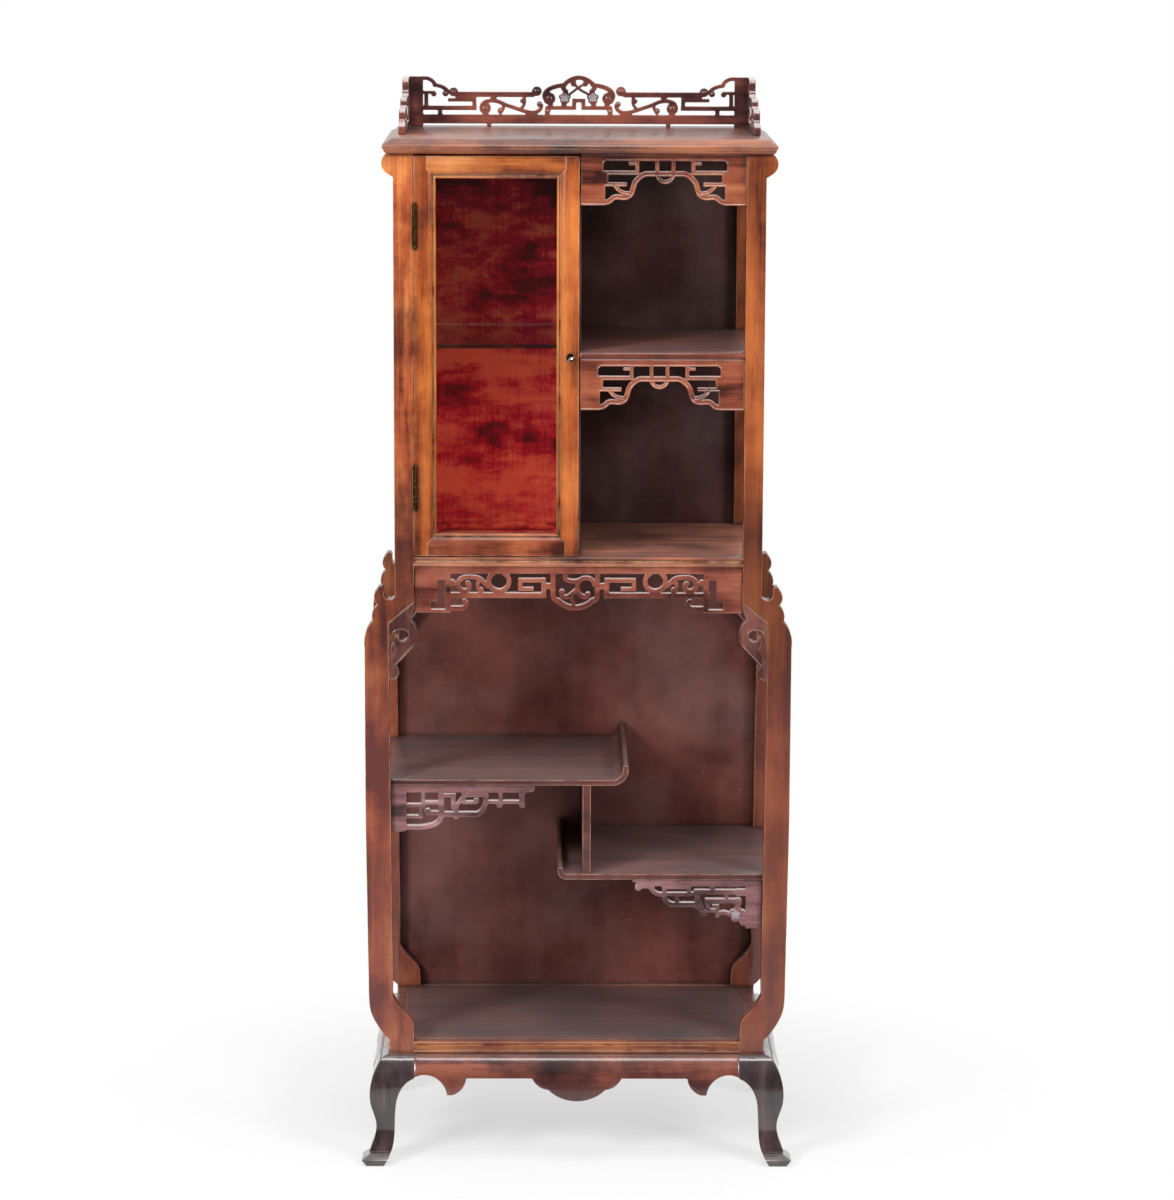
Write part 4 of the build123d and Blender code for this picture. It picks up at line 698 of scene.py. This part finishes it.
def fit_out(piece: Piece, body: str, slot: str, finish: Material, *nodes: str) -> None:
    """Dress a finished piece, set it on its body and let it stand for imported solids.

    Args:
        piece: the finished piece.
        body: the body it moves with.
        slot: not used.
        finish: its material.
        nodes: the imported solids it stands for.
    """
    piece.data.materials.clear()
    piece.data.materials.append(finish)
    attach(piece, body)
    if nodes:
        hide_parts(*nodes)
    LOG.info("%s: %d faces on %s", piece.name, len(piece.data.polygons), body)


def dress_solid(node: str, finish: Material) -> None:
    """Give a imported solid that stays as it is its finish."""
    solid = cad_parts[node]
    solid.data.materials.clear()
    solid.data.materials.append(finish)
    LOG.info("%s: packed solid", node)


# ------------------------------------------------------------------ finishes of this cabinet
def made(recipe: LacqueredWood | WornVelvet | PlateGlass | OldMetal) -> Material:
    """Let a field of Finishes hold the material that a recipe makes, when the finishes are made."""
    return field(default_factory=recipe.make)


@dataclass
class Finishes:
    """Every finish of the cabinet, each made once."""

    # posts, rails, shelves and boards of the case
    post: Material = made(LacqueredWood(
        "lacquered_hongmu_post", Grain.UPRIGHT, "44160e", "9c4a26", "cc7a42", "dca068", streak=0.7,
        blotch=0.7, drop_from=1.14, drop_to=1.0, drop_floor=0.1, deep="442420", foot="6c3c36",
        coat=0.35,
    ))
    post_right: Material = made(LacqueredWood(
        "lacquered_hongmu_post_right", Grain.UPRIGHT, "3c140c", "84401e", "a85a2c", "dca068",
        streak=0.5, blotch=0.5, drop_from=1.14, drop_to=1.0, drop_floor=0.1, deep="42221e",
        foot="6c3c34", coat=0.35,
    ))
    bracket: Material = made(LacqueredWood(
        "stained_hongmu_scroll", Grain.UPRIGHT, "241012", "502a28", "7c4c42", "b08870", streak=0.6,
        top_light_and_dust=0.35,
    ))
    rail: Material = made(LacqueredWood(
        "lacquered_hongmu_rail", Grain.ACROSS, "300f0a", "6a3022", "98523a", "d8a888", rub_and_glint=0.9,
    ))
    floor_board: Material = made(LacqueredWood(
        "lacquered_hongmu_floor", Grain.ACROSS, "4a2018", "9c5638", "c47e52", "e8b488", rub_and_glint=1.0,
        coat=0.2,
    ))
    base_board: Material = made(LacqueredWood(
        "lacquered_hongmu_base", Grain.ACROSS, "401810", "7c3c26", "a86438", "e0a878", rub_and_glint=1.0,
        top_light_and_dust=0.1,
    ))
    cornice: Material = made(LacqueredWood(
        "polished_hongmu_cornice", Grain.ACROSS, "2a0d09", "6a2e16", "a05a34", "ecc8a4",
        roughness=0.27, rub_and_glint=1.0, coat=0.0, specular=0.8, top_light_and_dust=0.1, blotch=0.6, grime_and_shade=0.9, bump=0.0,
    ))
    shelf: Material = made(LacqueredWood(
        "lacquered_hongmu_shelf", Grain.ACROSS, "2c1210", "4e2622", "6c3c34", "e0a888", rub_and_glint=1.0,
        dust=0.25, top_light_and_dust=0.14, streak=0.3,
    ))
    panel: Material = made(LacqueredWood(
        "stained_back_board", Grain.UPRIGHT, "441e1c", "643630", "7c4640", "8c6052", roughness=0.55,
        rub_and_glint=0.2, coat=0.0, specular=0.2, dust=0.4, streak=0.12, figure=0.08, bump=0.03, pores=0.04,
    ))
    # painted shade: a darker copy of the back board, for the upper case whose bays lie in shade
    painted_shade_panel: Material = made(LacqueredWood(
        "stained_back_board_shaded", Grain.UPRIGHT, "2c1210", "3c201e", "4e2c2a", "6c4a40",
        roughness=0.55, rub_and_glint=0.2, coat=0.0, specular=0.2, dust=0.3, streak=0.2, figure=0.1,
        bump=0.04,
    ))
    # the door's four members, each a plank of its own tone
    door_left: Material = made(LacqueredWood(
        "lacquered_hongmu_hinge_stile", Grain.UPRIGHT, "401408", "8a3e18", "b46428", "e0a468",
        streak=0.6, blotch=0.8, grime_and_shade=1.0,
    ))
    door_right: Material = made(LacqueredWood(
        "lacquered_hongmu_lock_stile", Grain.UPRIGHT, "582210", "9c4c20", "c27034", "eab47c",
        streak=0.35, blotch=0.7, grime_and_shade=1.0,
    ))
    door_top: Material = made(LacqueredWood(
        "lacquered_hongmu_top_rail", Grain.ACROSS, "642812", "b0602c", "d2864a", "ecb884",
        streak=0.35, blotch=0.7, grime_and_shade=1.0,
    ))
    door_bottom: Material = made(LacqueredWood(
        "lacquered_hongmu_bottom_rail", Grain.ACROSS, "42160c", "90462a", "b86c3c", "e0a878",
        streak=0.5, blotch=0.7, grime_and_shade=1.0,
    ))
    # carved frets, the gallery and the darkened stand
    fret: Material = made(LacqueredWood(
        "carved_hongmu_fret", Grain.ACROSS, "34110c", "823e2a", "a2603e", "e0bca4", roughness=0.28,
        top_light_and_dust=0.8, rub_and_glint=0.45, coat=0.4, blotch=0.5, streak=0.0,
    ))
    long_fret: Material = made(LacqueredWood(
        "carved_hongmu_long_fret", Grain.ACROSS, "2e100c", "72362a", "985842", "dcb49c",
        roughness=0.26, top_light_and_dust=1.0, rub_and_glint=0.4, coat=0.5, blotch=0.6, streak=0.3,
    ))
    small_fret: Material = made(LacqueredWood(
        "carved_hongmu_shelf_bracket", Grain.ACROSS, "3a2628", "7a5254", "a07878", "c8b0ac",
        roughness=0.34, top_light_and_dust=1.0, rub_and_glint=0.7,
    ))
    petal: Material = made(LacqueredWood(
        "dusty_carved_petal", Grain.ACROSS, "4c4048", "8a8088", "a8a0a8", "d4ccd0", roughness=0.5,
        rub_and_glint=0.8, streak=0.3, grime_and_shade=0.9,
    ))
    gallery: Material = made(LacqueredWood(
        "carved_hongmu_gallery", Grain.ACROSS, "281618", "542a28", "844838", "c8a088", grime_and_shade=0.45,
        roughness=0.26, top_light_and_dust=0.9, rub_and_glint=0.6, coat=0.4, blotch=0.7,
    ))
    stand: Material = made(LacqueredWood(
        "ebonised_hongmu_stand", Grain.UPRIGHT, "181012", "3a2a2d", "5a4447", "7c6860",
        roughness=0.18, rub_and_glint=0.6, coat=1.0, specular=0.5, bump=0.05,
    ))
    apron: Material = made(LacqueredWood(
        "ebonised_hongmu_apron", Grain.ACROSS, "1e0c0b", "5c2c24", "94523c", "b08070",
        roughness=0.22, rub_and_glint=0.6, coat=0.7, specular=0.4, blotch=0.8, drop_from=0.17, drop_to=0.13,
        drop_floor=0.15, deep="3c2020", foot="3c2020",
    ))
    # cloth, glass and metal
    velvet: Material = made(WornVelvet("crimson_silk_velvet"))
    pane: Material = made(PlateGlass("soda_lime_plate_glass"))
    shelf_pane: Material = made(PlateGlass("green_plate_glass", tint="cfe4da", smear="b8d4c8", index=1.45))
    brass: Material = made(OldMetal("aged_brass", "9a7a44", "3c2e1c", 0.42))
    iron: Material = made(OldMetal("blackened_iron", "3a3230", "120e0c", 0.4, 0.5))
    silver: Material = made(OldMetal("nickelled_steel", "dcd8d0", "8c867c", 0.62, 0.2))


# ------------------------------------------------------------------ sub-assemblies
@dataclass
class Stand:
    """Four cabriole legs and the shaped aprons between them."""

    edge_mm: float = 2.2
    apron_edge_mm: float = 1.4

    def build(self, finish: Finishes) -> None:
        """Round and dress the legs and aprons."""
        for depth in ("front", "back"):
            for width in ("left", "right"):
                node = f"leg_{depth}_{width}"
                leg = workpiece(node, f"cabriole_{depth}_{width}")
                ease_edges(leg, self.edge_mm, segments=3)
                fit_out(leg, "case", "stand_wood", finish.stand, node)
        for side in ("front", "back", "left", "right"):
            node = f"apron_{side}"
            apron = workpiece(node, f"shaped_apron_{side}")
            ease_edges(apron, self.apron_edge_mm)
            fit_out(apron, "case", "stand_wood", finish.apron, node)


@dataclass
class Case:
    """Posts, rails, floors, shelves, boards and the cornice."""

    post_edge_mm: float = 1.6
    board_edge_mm: float = 0.9

    def build(self, finish: Finishes) -> None:
        """Ease and dress the boards of the case."""
        for depth in ("front", "back"):
            for width in ("left", "right"):
                node = f"post_{depth}_{width}"
                post = workpiece(node, f"bowed_post_{depth}_{width}")
                ease_edges(post, self.post_edge_mm, segments=3)
                wood = finish.post_right if node.endswith("right") else finish.post
                fit_out(post, "case", "case_wood", wood, node)
        cornice = workpiece("cornice", "moulded_cornice")
        ease_edges(cornice, self.board_edge_mm)
        fit_out(cornice, "case", "case_wood", finish.cornice, "cornice")
        tones = {"mid_floor": finish.floor_board, "base_rail_front": finish.base_board}
        rails = ("base_rail_front", "base_rail_back", "base_rail_left", "base_rail_right", "mid_floor",
                 "upper_right_shelf")
        for node in rails:
            rail = workpiece(node, f"moulded_{node}")
            ease_edges(rail, self.board_edge_mm)
            fit_out(rail, "case", "case_wood", tones.get(node, finish.rail), node)
        for node in ("left_shelf", "right_shelf", "bottom_shelf", "shelf_divider"):
            shelf = workpiece(node, f"display_{node}")
            ease_edges(shelf, self.board_edge_mm)
            fit_out(shelf, "case", "shelf_wood", finish.shelf, node)
        for node in ("partition", "upper_left_side", "back_panel_lower"):
            dress_solid(node, finish.panel)
        # the upper back board takes the painted-shade copy of the back board
        dress_solid("back_panel_upper", finish.painted_shade_panel)


@dataclass(frozen=True)
class Gouge:
    """One way of working a sawn fret.

    Attributes:
        passes: how many times it is rubbed.
        fullness_mm: what is left on for the rubbing to take off.
    """

    passes: int
    fullness_mm: float


CRISP = Gouge(3, 0.35)
ROUND = Gouge(9, 0.6)
THIN = Gouge(7, 0.05)
PETAL = Gouge(2, 0.1)


@dataclass
class Fretwork:
    """Pierced frets, scroll brackets and the gallery: some with a raised thread, some worked round."""

    grain_mm: float = 0.75
    petal_grain_mm: float = 0.4
    lip_mm: float = 1.3
    scroll_lip_mm: float = 1.6
    field_mm: float = 1.0
    eye_height_mm: float = 1.3
    # eyes of the gallery's volutes: distance from the centre, height, radius
    gallery_eyes: tuple[tuple[float, float, float], ...] = (
        (204.0, 55.8, 3.2), (68.4, 57.4, 3.4), (152.5, 29.5, 3.8), (48.0, 45.5, 4.0), (217.0, 53.5, 2.2),
        (64.0, 36.5, 2.0), (127.5, 25.8, 2.2), (51.0, 25.0, 2.2),
    )
    gallery_blossoms: tuple[tuple[float, float], ...] = ((-22.8, 46.6), (22.8, 46.6))
    # the right bracket's flower, from the post and from the shelf above it
    flower_in_mm: float = 43.0
    flower_down_mm: float = 58.0
    petals: int = 5
    petal_radius_mm: float = 3.1
    petal_reach_mm: float = 4.6
    petal_height_mm: float = 1.5
    heart_radius_mm: float = 2.0

    def build(self, finish: Finishes) -> None:
        """Carve and dress every fret."""
        front = Vector((0, -1, 0))
        for node in ("fret_upper", "fret_lower"):
            fret = workpiece(node, f"carved_{node}")
            sink_field(fret, front, self.lip_mm, self.field_mm)
            self.finish_piece(fret, finish.fret, "fret_wood", node, CRISP)
        for node in ("fret_middle", "shelf_bracket_left", "shelf_bracket_right"):
            fret = workpiece(node, f"carved_{node}")
            wood = finish.long_fret if node == "fret_middle" else finish.small_fret
            self.finish_piece(fret, wood, "fret_wood", node, ROUND)
            if node == "shelf_bracket_right":
                self.blossom(f"blossom_{node}", self.bracket_flower(node), finish.petal)
        for depth in ("front", "back"):
            for width in ("left", "right"):
                node = f"scroll_bracket_{depth}_{width}"
                bracket = workpiece(node, f"carved_scroll_{depth}_{width}")
                sink_field(bracket, front, self.scroll_lip_mm, self.field_mm)
                self.finish_piece(bracket, finish.bracket, "case_wood", node, CRISP)
        self.gallery(finish, front)

    def gallery(self, finish: Finishes, front: Vector) -> None:
        """Carve the gallery's back and its two stepped sides.

        Args:
            finish: the finishes.
            front: the way its show side looks.
        """
        back = workpiece("gallery_back", "carved_gallery_back")
        low = Vector(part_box("gallery_back")[0])
        for reach, height, radius in self.gallery_eyes:
            for side in (-1, 1):
                boss(back, Vector((side * reach * MM, low.y, low.z + height * MM)), front, radius,
                     self.eye_height_mm)
        self.finish_piece(back, finish.gallery, "fret_wood", "gallery_back", THIN)
        for count, (reach, height) in enumerate(self.gallery_blossoms, 1):
            middle = Vector((reach * MM, low.y, low.z + height * MM))
            self.blossom(f"gallery_blossom_{count}", middle, finish.petal)
        for node in ("gallery_left", "gallery_right"):
            board = workpiece(node, f"carved_{node}")
            self.finish_piece(board, finish.gallery, "fret_wood", node, THIN)

    def finish_piece(self, piece: Piece, wood: Material, slot: str, node: str, gouge: Gouge) -> None:
        """Round a carved piece and set it on the case.

        Args:
            piece: the workpiece.
            wood: its finish.
            slot: the record's material slot.
            node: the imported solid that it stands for.
            gouge: the way it is worked.
        """
        carve_round(piece, self.grain_mm, gouge.passes, gouge.fullness_mm)
        fit_out(piece, "case", slot, wood, node)

    def blossom(self, name: str, middle: Vector, petal_wood: Material) -> None:
        """Carve a five-petalled flower and set it on a fret's face.

        Args:
            name: the flower's name.
            middle: its middle, on the face.
            petal_wood: its finish.
        """
        front = Vector((0, -1, 0))
        bpy.ops.object.select_all(action="DESELECT")
        bpy.ops.mesh.primitive_uv_sphere_add(
            segments=16, ring_count=8, radius=self.heart_radius_mm * MM, location=middle
        )
        flower = bpy.context.object
        bpy.ops.object.transform_apply(location=True)
        flower.name = name
        reach = self.petal_reach_mm * MM
        for step in range(self.petals):
            turn = math.radians(90 + 360 / self.petals * step)
            petal = middle + Vector((reach * math.cos(turn), 0, reach * math.sin(turn)))
            boss(flower, petal, front, self.petal_radius_mm, self.petal_height_mm)
        carve_round(flower, self.petal_grain_mm, PETAL.passes, PETAL.fullness_mm)
        fit_out(flower, "case", "fret_wood", petal_wood)

    def bracket_flower(self, node: str) -> Vector:
        """Find the middle of the right bracket's flower, on the bracket's face."""
        low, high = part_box(node)
        return Vector((high[0] - self.flower_in_mm * MM, low[1], high[2] - self.flower_down_mm * MM))


@dataclass
class Door:
    """The glazed door with its hinges, lock and key."""

    edge_mm: float = 0.8

    def build(self, finish: Finishes) -> None:
        """Ease and dress the door."""
        members = (
            ("door_stile_hinge", finish.door_left), ("door_stile_lock", finish.door_right),
            ("door_rail_top", finish.door_top), ("door_rail_bottom", finish.door_bottom),
        )
        for node, wood in members:
            member = workpiece(node, f"moulded_{node}")
            ease_edges(member, self.edge_mm)
            fit_out(member, "door", "door_wood", wood, node)
        dress_solid("glazing_bead", finish.door_left)
        dress_solid("door_glass", finish.pane)
        for node in ("hinge_leaves_case", "hinge_leaves_door", "hinge_pins", "hinge_screws_case",
                     "hinge_screws_door", "shelf_pegs"):
            dress_solid(node, finish.brass)
        for node in ("lock_case", "lock_bolt", "escutcheon"):
            dress_solid(node, finish.iron)
        dress_solid("key", finish.silver)


class Wall(Enum):
    """The cupboard's four velvet faces: axis across the cloth, its show side and the board behind it."""

    LEFT = (0, 1, "upper_left_side")
    RIGHT = (0, -1, "partition")
    BACK = (1, -1, "back_panel_upper")
    FLOOR = (2, 1, "mid_floor")


@dataclass
class Cupboard:
    """The velvet lining and the glass shelf behind the door."""

    cloth_mm: float = 1.2
    backing_share: float = 0.8
    flat_edge_mm: float = 10.0
    ripple_mm: float = 0.25
    # ripples to the metre along the width and the height, and the shift from wall to wall
    ripples: tuple[float, float, float] = (14.0, 5.0, 3.7)
    squares: tuple[int, int] = (60, 90)

    def build(self, finish: Finishes) -> None:
        """Line and furnish the cupboard."""
        for wall in Wall:
            self.line(wall, finish.velvet)
        dress_solid("glass_shelf", finish.shelf_pane)

    def line(self, wall: Wall, velvet: Material) -> None:
        """Stretch one cut of velvet over its board and glue it down.

        Args:
            wall: the face that it covers.
            velvet: the cloth's finish.
        """
        node = f"lining_{wall.name.lower()}"
        low, high = (Vector(corner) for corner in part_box(node))
        across, side, board = wall.value
        run, rise = [axis for axis in range(3) if axis != across]
        middle = (low + high) / 2
        middle[across] = (high if side > 0 else low)[across] - side * self.cloth_mm * MM
        bpy.ops.object.select_all(action="DESELECT")
        along, up = self.squares
        bpy.ops.mesh.primitive_grid_add(x_subdivisions=along, y_subdivisions=up, size=1.0, location=(0, 0, 0))
        cloth = bpy.context.object
        cloth.name = f"velvet_{wall.name.lower()}"
        width, height = high[run] - low[run], high[rise] - low[rise]
        self.lay_over(cloth, run, rise, width, height, middle)
        self.ripple(cloth, across, side, run, rise, low, high)
        backing = cloth.modifiers.new("backing", "SOLIDIFY")
        backing.thickness = self.cloth_mm * MM * self.backing_share
        backing.offset = -1.0
        apply_all(cloth)
        self.turn_outwards(cloth)
        bpy.ops.object.shade_smooth()
        fit_out(cloth, "case", "velvet", velvet, node)

    def lay_over(
        self, cloth: Piece, run: int, rise: int, width: float, height: float, middle: Vector
    ) -> None:
        """Turn a flat unit cloth to its board and stretch it to size.

        Args:
            cloth: the cloth, flat on the floor.
            run: the axis along its width.
            rise: the axis along its height.
            width: its width.
            height: its height.
            middle: where its middle goes.
        """
        for vertex in cloth.data.vertices:
            across_width, along_height = vertex.co.x, vertex.co.y
            place = middle.copy()
            place[run] += across_width * width
            place[rise] += along_height * height
            vertex.co = place

    def ripple(
        self, cloth: Piece, across: int, side: int, run: int, rise: int, low: Vector, high: Vector
    ) -> None:
        """Let the cloth ripple a little where the glue has let go, and lie flat along its edges.

        Args:
            cloth: the cloth on its board.
            across: the axis through the cloth.
            side: which way its show side looks.
            run: the axis along its width.
            rise: the axis along its height.
            low: its lowest corner.
            high: its highest corner.
        """
        wide, tall, shift = self.ripples
        for vertex in cloth.data.vertices:
            place = vertex.co
            edge = min(place[run] - low[run], high[run] - place[run], place[rise] - low[rise],
                       high[rise] - place[rise])
            ease = min(1.0, max(0.0, edge / (self.flat_edge_mm * MM)))
            wave = noise.noise(Vector((place[run] * wide, place[rise] * tall, across * shift)))
            place[across] += side * ease * (0.5 + 0.5 * wave) * self.ripple_mm * MM

    def turn_outwards(self, cloth: Piece) -> None:
        """Point every face of the finished cloth outwards."""
        pick_only(cloth)
        bpy.ops.object.mode_set(mode="EDIT")
        bpy.ops.mesh.select_all(action="SELECT")
        bpy.ops.mesh.normals_make_consistent(inside=False)
        bpy.ops.object.mode_set(mode="OBJECT")


# ------------------------------------------------------------------ studio
@dataclass
class Studio:
    """Pale floor, white surround, soft lights and the camera."""

    camera_at: tuple[float, float, float] = (-0.04268, -6.4107, 2.03387)
    tilt: float = 0.17653
    roll: float = 0.003957
    yaw: float = 0.009040
    lens_mm: float = 120.006
    left_w: float = 190.0
    right_w: float = 118.0
    top_w: float = 55.0
    surround: float = 0.42
    room: float = 0.16
    paper_from: float = 0.6
    paper_to: float = 2.2
    shadow_from: float = 0.35
    shadow_to: float = 1.0
    # share of glow on the paper at the cabinet's feet: painted light that lightens its shadow
    glow_at_feet: float = 0.62
    paper_size: float = 30.0
    aim_height: float = 0.9

    def build(self) -> None:
        """Set up floor, lights and camera."""
        self.floor()
        self.lights()
        self.camera()

    def floor(self) -> None:
        """Lay a wide white floor: it glows for the rays that look at it, which lightens the cabinet's shadow,
        and mirrors see it end in a dark room.
        """
        bpy.ops.object.select_all(action="DESELECT")
        bpy.ops.mesh.primitive_plane_add(size=self.paper_size, location=(0, 0, 0))
        floor = bpy.context.object
        floor.name = "studio_floor"
        mix = Recipe.start("white_studio_paper")
        place = mix.node("TexCoord").outputs["Object"]
        fibres = mix.node("TexNoise", {"Vector": place, "Scale": 60.0, "Detail": 3.0})
        tone = mix.node("ValToRGB", {"Fac": fibres.outputs[0]}, stops=((0.3, "f6f6f7"), (0.7, "fafafa")))
        mix.feed(Base_Color=tone.outputs[0], Roughness=0.8, Specular_IOR_Level=0.1)
        # painted light: the paper's glow rises from six tenths at the feet to pure white a metre from the
        # middle, which lightens the cabinet's shadow
        reach = mix.node("VectorMath", {0: place}, operation="LENGTH")
        far = mix.node(
            "MapRange",
            {"Value": reach.outputs["Value"], "From Min": self.shadow_from, "From Max": self.shadow_to,
             "To Min": self.glow_at_feet, "To Max": 1.0},
            interpolation_type="SMOOTHSTEP",
        )
        seen = self.seen_directly(mix)
        share = mix.node("Math", {0: far.outputs[0], 1: seen}, operation="MULTIPLY")
        # in a reflection the paper dims into the dark room over a stride and a half
        dim = mix.node(
            "MapRange",
            {"Value": reach.outputs["Value"], "From Min": self.paper_from, "From Max": self.paper_to,
             "To Min": 1.0, "To Max": self.room},
        )
        mirrored = mix.node("LightPath").outputs["Is Glossy Ray"]
        level = mix.node("Mix", {0: mirrored, 2: 1.0, 3: dim.outputs[0]})
        glow = mix.node("Emission", {"Color": (1, 1, 1, 1), "Strength": level.outputs[0]})
        either = mix.node("MixShader", {0: share.outputs[0], 1: mix.shader.outputs[0], 2: glow.outputs[0]})
        mix.show(either.outputs[0])
        floor.data.materials.append(mix.material)

    def seen_directly(self, mix: Recipe) -> Socket:
        """Tell the rays that show the surround from those that light the cabinet.

        Args:
            mix: the recipe that asks.

        Returns:
            One for a ray of the camera, of a reflection or through glass, else zero.
        """
        path = mix.node("LightPath")
        first = mix.node(
            "Math", {0: path.outputs["Is Camera Ray"], 1: path.outputs["Is Glossy Ray"]}, operation="MAXIMUM"
        )
        both = mix.node(
            "Math", {0: first.outputs[0], 1: path.outputs["Is Transmission Ray"]}, operation="MAXIMUM"
        )
        return both.outputs[0]

    def lights(self) -> None:
        """Hang soft boxes on both sides and over the front, and light the surround."""
        for name, at, size, power in (
            ("soft_box_left", (-3.2, -4.2, 3.4), 1.3, self.left_w),
            ("soft_box_right", (3.4, -3.6, 3.2), 1.3, self.right_w),
            ("soft_box_top", (0.0, -1.6, 4.4), 1.6, self.top_w),
        ):
            lamp = bpy.data.lights.new(name, "AREA")
            lamp.size = size
            lamp.energy = power
            holder = bpy.data.objects.new(name, lamp)
            holder.location = at
            aim = Vector((0, 0, self.aim_height)) - Vector(at)
            holder.rotation_euler = aim.to_track_quat("-Z", "Y").to_euler()
            bpy.context.scene.collection.objects.link(holder)
        self.world()

    def world(self) -> None:
        """Light the surround: white to look at, and in mirrors white behind and above but dark in front."""
        world = bpy.data.worlds.new("studio_surround")
        bpy.context.scene.world = world
        world.use_nodes = True
        tree = world.node_tree
        path = add_node(tree, "LightPath")
        looks = add_node(
            tree, "Math", {0: path.outputs["Is Camera Ray"], 1: path.outputs["Is Transmission Ray"]},
            operation="MAXIMUM",
        )
        plain = add_node(tree, "Mix", {0: looks.outputs[0], 2: self.surround, 3: 1.0})
        # the backdrop stands behind the cabinet and curls over it; the room is in front
        way = add_node(tree, "TexCoord").outputs["Generated"]
        lean = add_node(tree, "VectorMath", {0: way, 1: (0.0, 0.8, 0.6)}, operation="DOT_PRODUCT")
        mirror = add_node(
            tree, "MapRange",
            {"Value": lean.outputs["Value"], "From Min": 0.0, "From Max": 0.6, "To Min": self.room,
             "To Max": 1.0},
            interpolation_type="SMOOTHSTEP",
        )
        level = add_node(
            tree, "Mix", {0: path.outputs["Is Glossy Ray"], 2: plain.outputs[0], 3: mirror.outputs[0]}
        )
        set_inputs(tree, tree.nodes["Background"], {"Color": (1, 1, 1, 1), "Strength": level.outputs[0]})

    def camera(self) -> None:
        """Stand the camera in front, a little above the cabinet's top, looking slightly down."""
        s, c = math.sin, math.cos
        ahead = Vector((s(self.yaw) * c(self.tilt), c(self.yaw) * c(self.tilt), -s(self.tilt)))
        right = Vector((c(self.yaw), -s(self.yaw), 0))
        up = Vector((s(self.yaw) * s(self.tilt), c(self.yaw) * s(self.tilt), c(self.tilt)))
        x = right * c(self.roll) + up * s(self.roll)
        y = up * c(self.roll) - right * s(self.roll)
        data = bpy.data.cameras.new("studio_camera")
        data.lens = self.lens_mm
        data.sensor_width = 36.0
        data.clip_end = 100.0
        holder = bpy.data.objects.new("studio_camera", data)
        turn = Matrix((x, y, -ahead)).transposed().to_4x4()
        holder.matrix_world = Matrix.Translation(Vector(self.camera_at)) @ turn
        bpy.context.scene.collection.objects.link(holder)
        bpy.context.scene.camera = holder


def main() -> None:
    """Build the cabinet's looks, then the studio round it."""
    logging.basicConfig(level=logging.INFO, format="%(name)s: %(message)s")
    finish = Finishes()
    for part in (Stand(), Case(), Fretwork(), Door(), Cupboard()):
        LOG.info("building %s", type(part).__name__)
        part.build(finish)
    Studio().build()
    bpy.context.scene.view_settings.view_transform = "Standard"


if __name__ == "__main__":
    main()
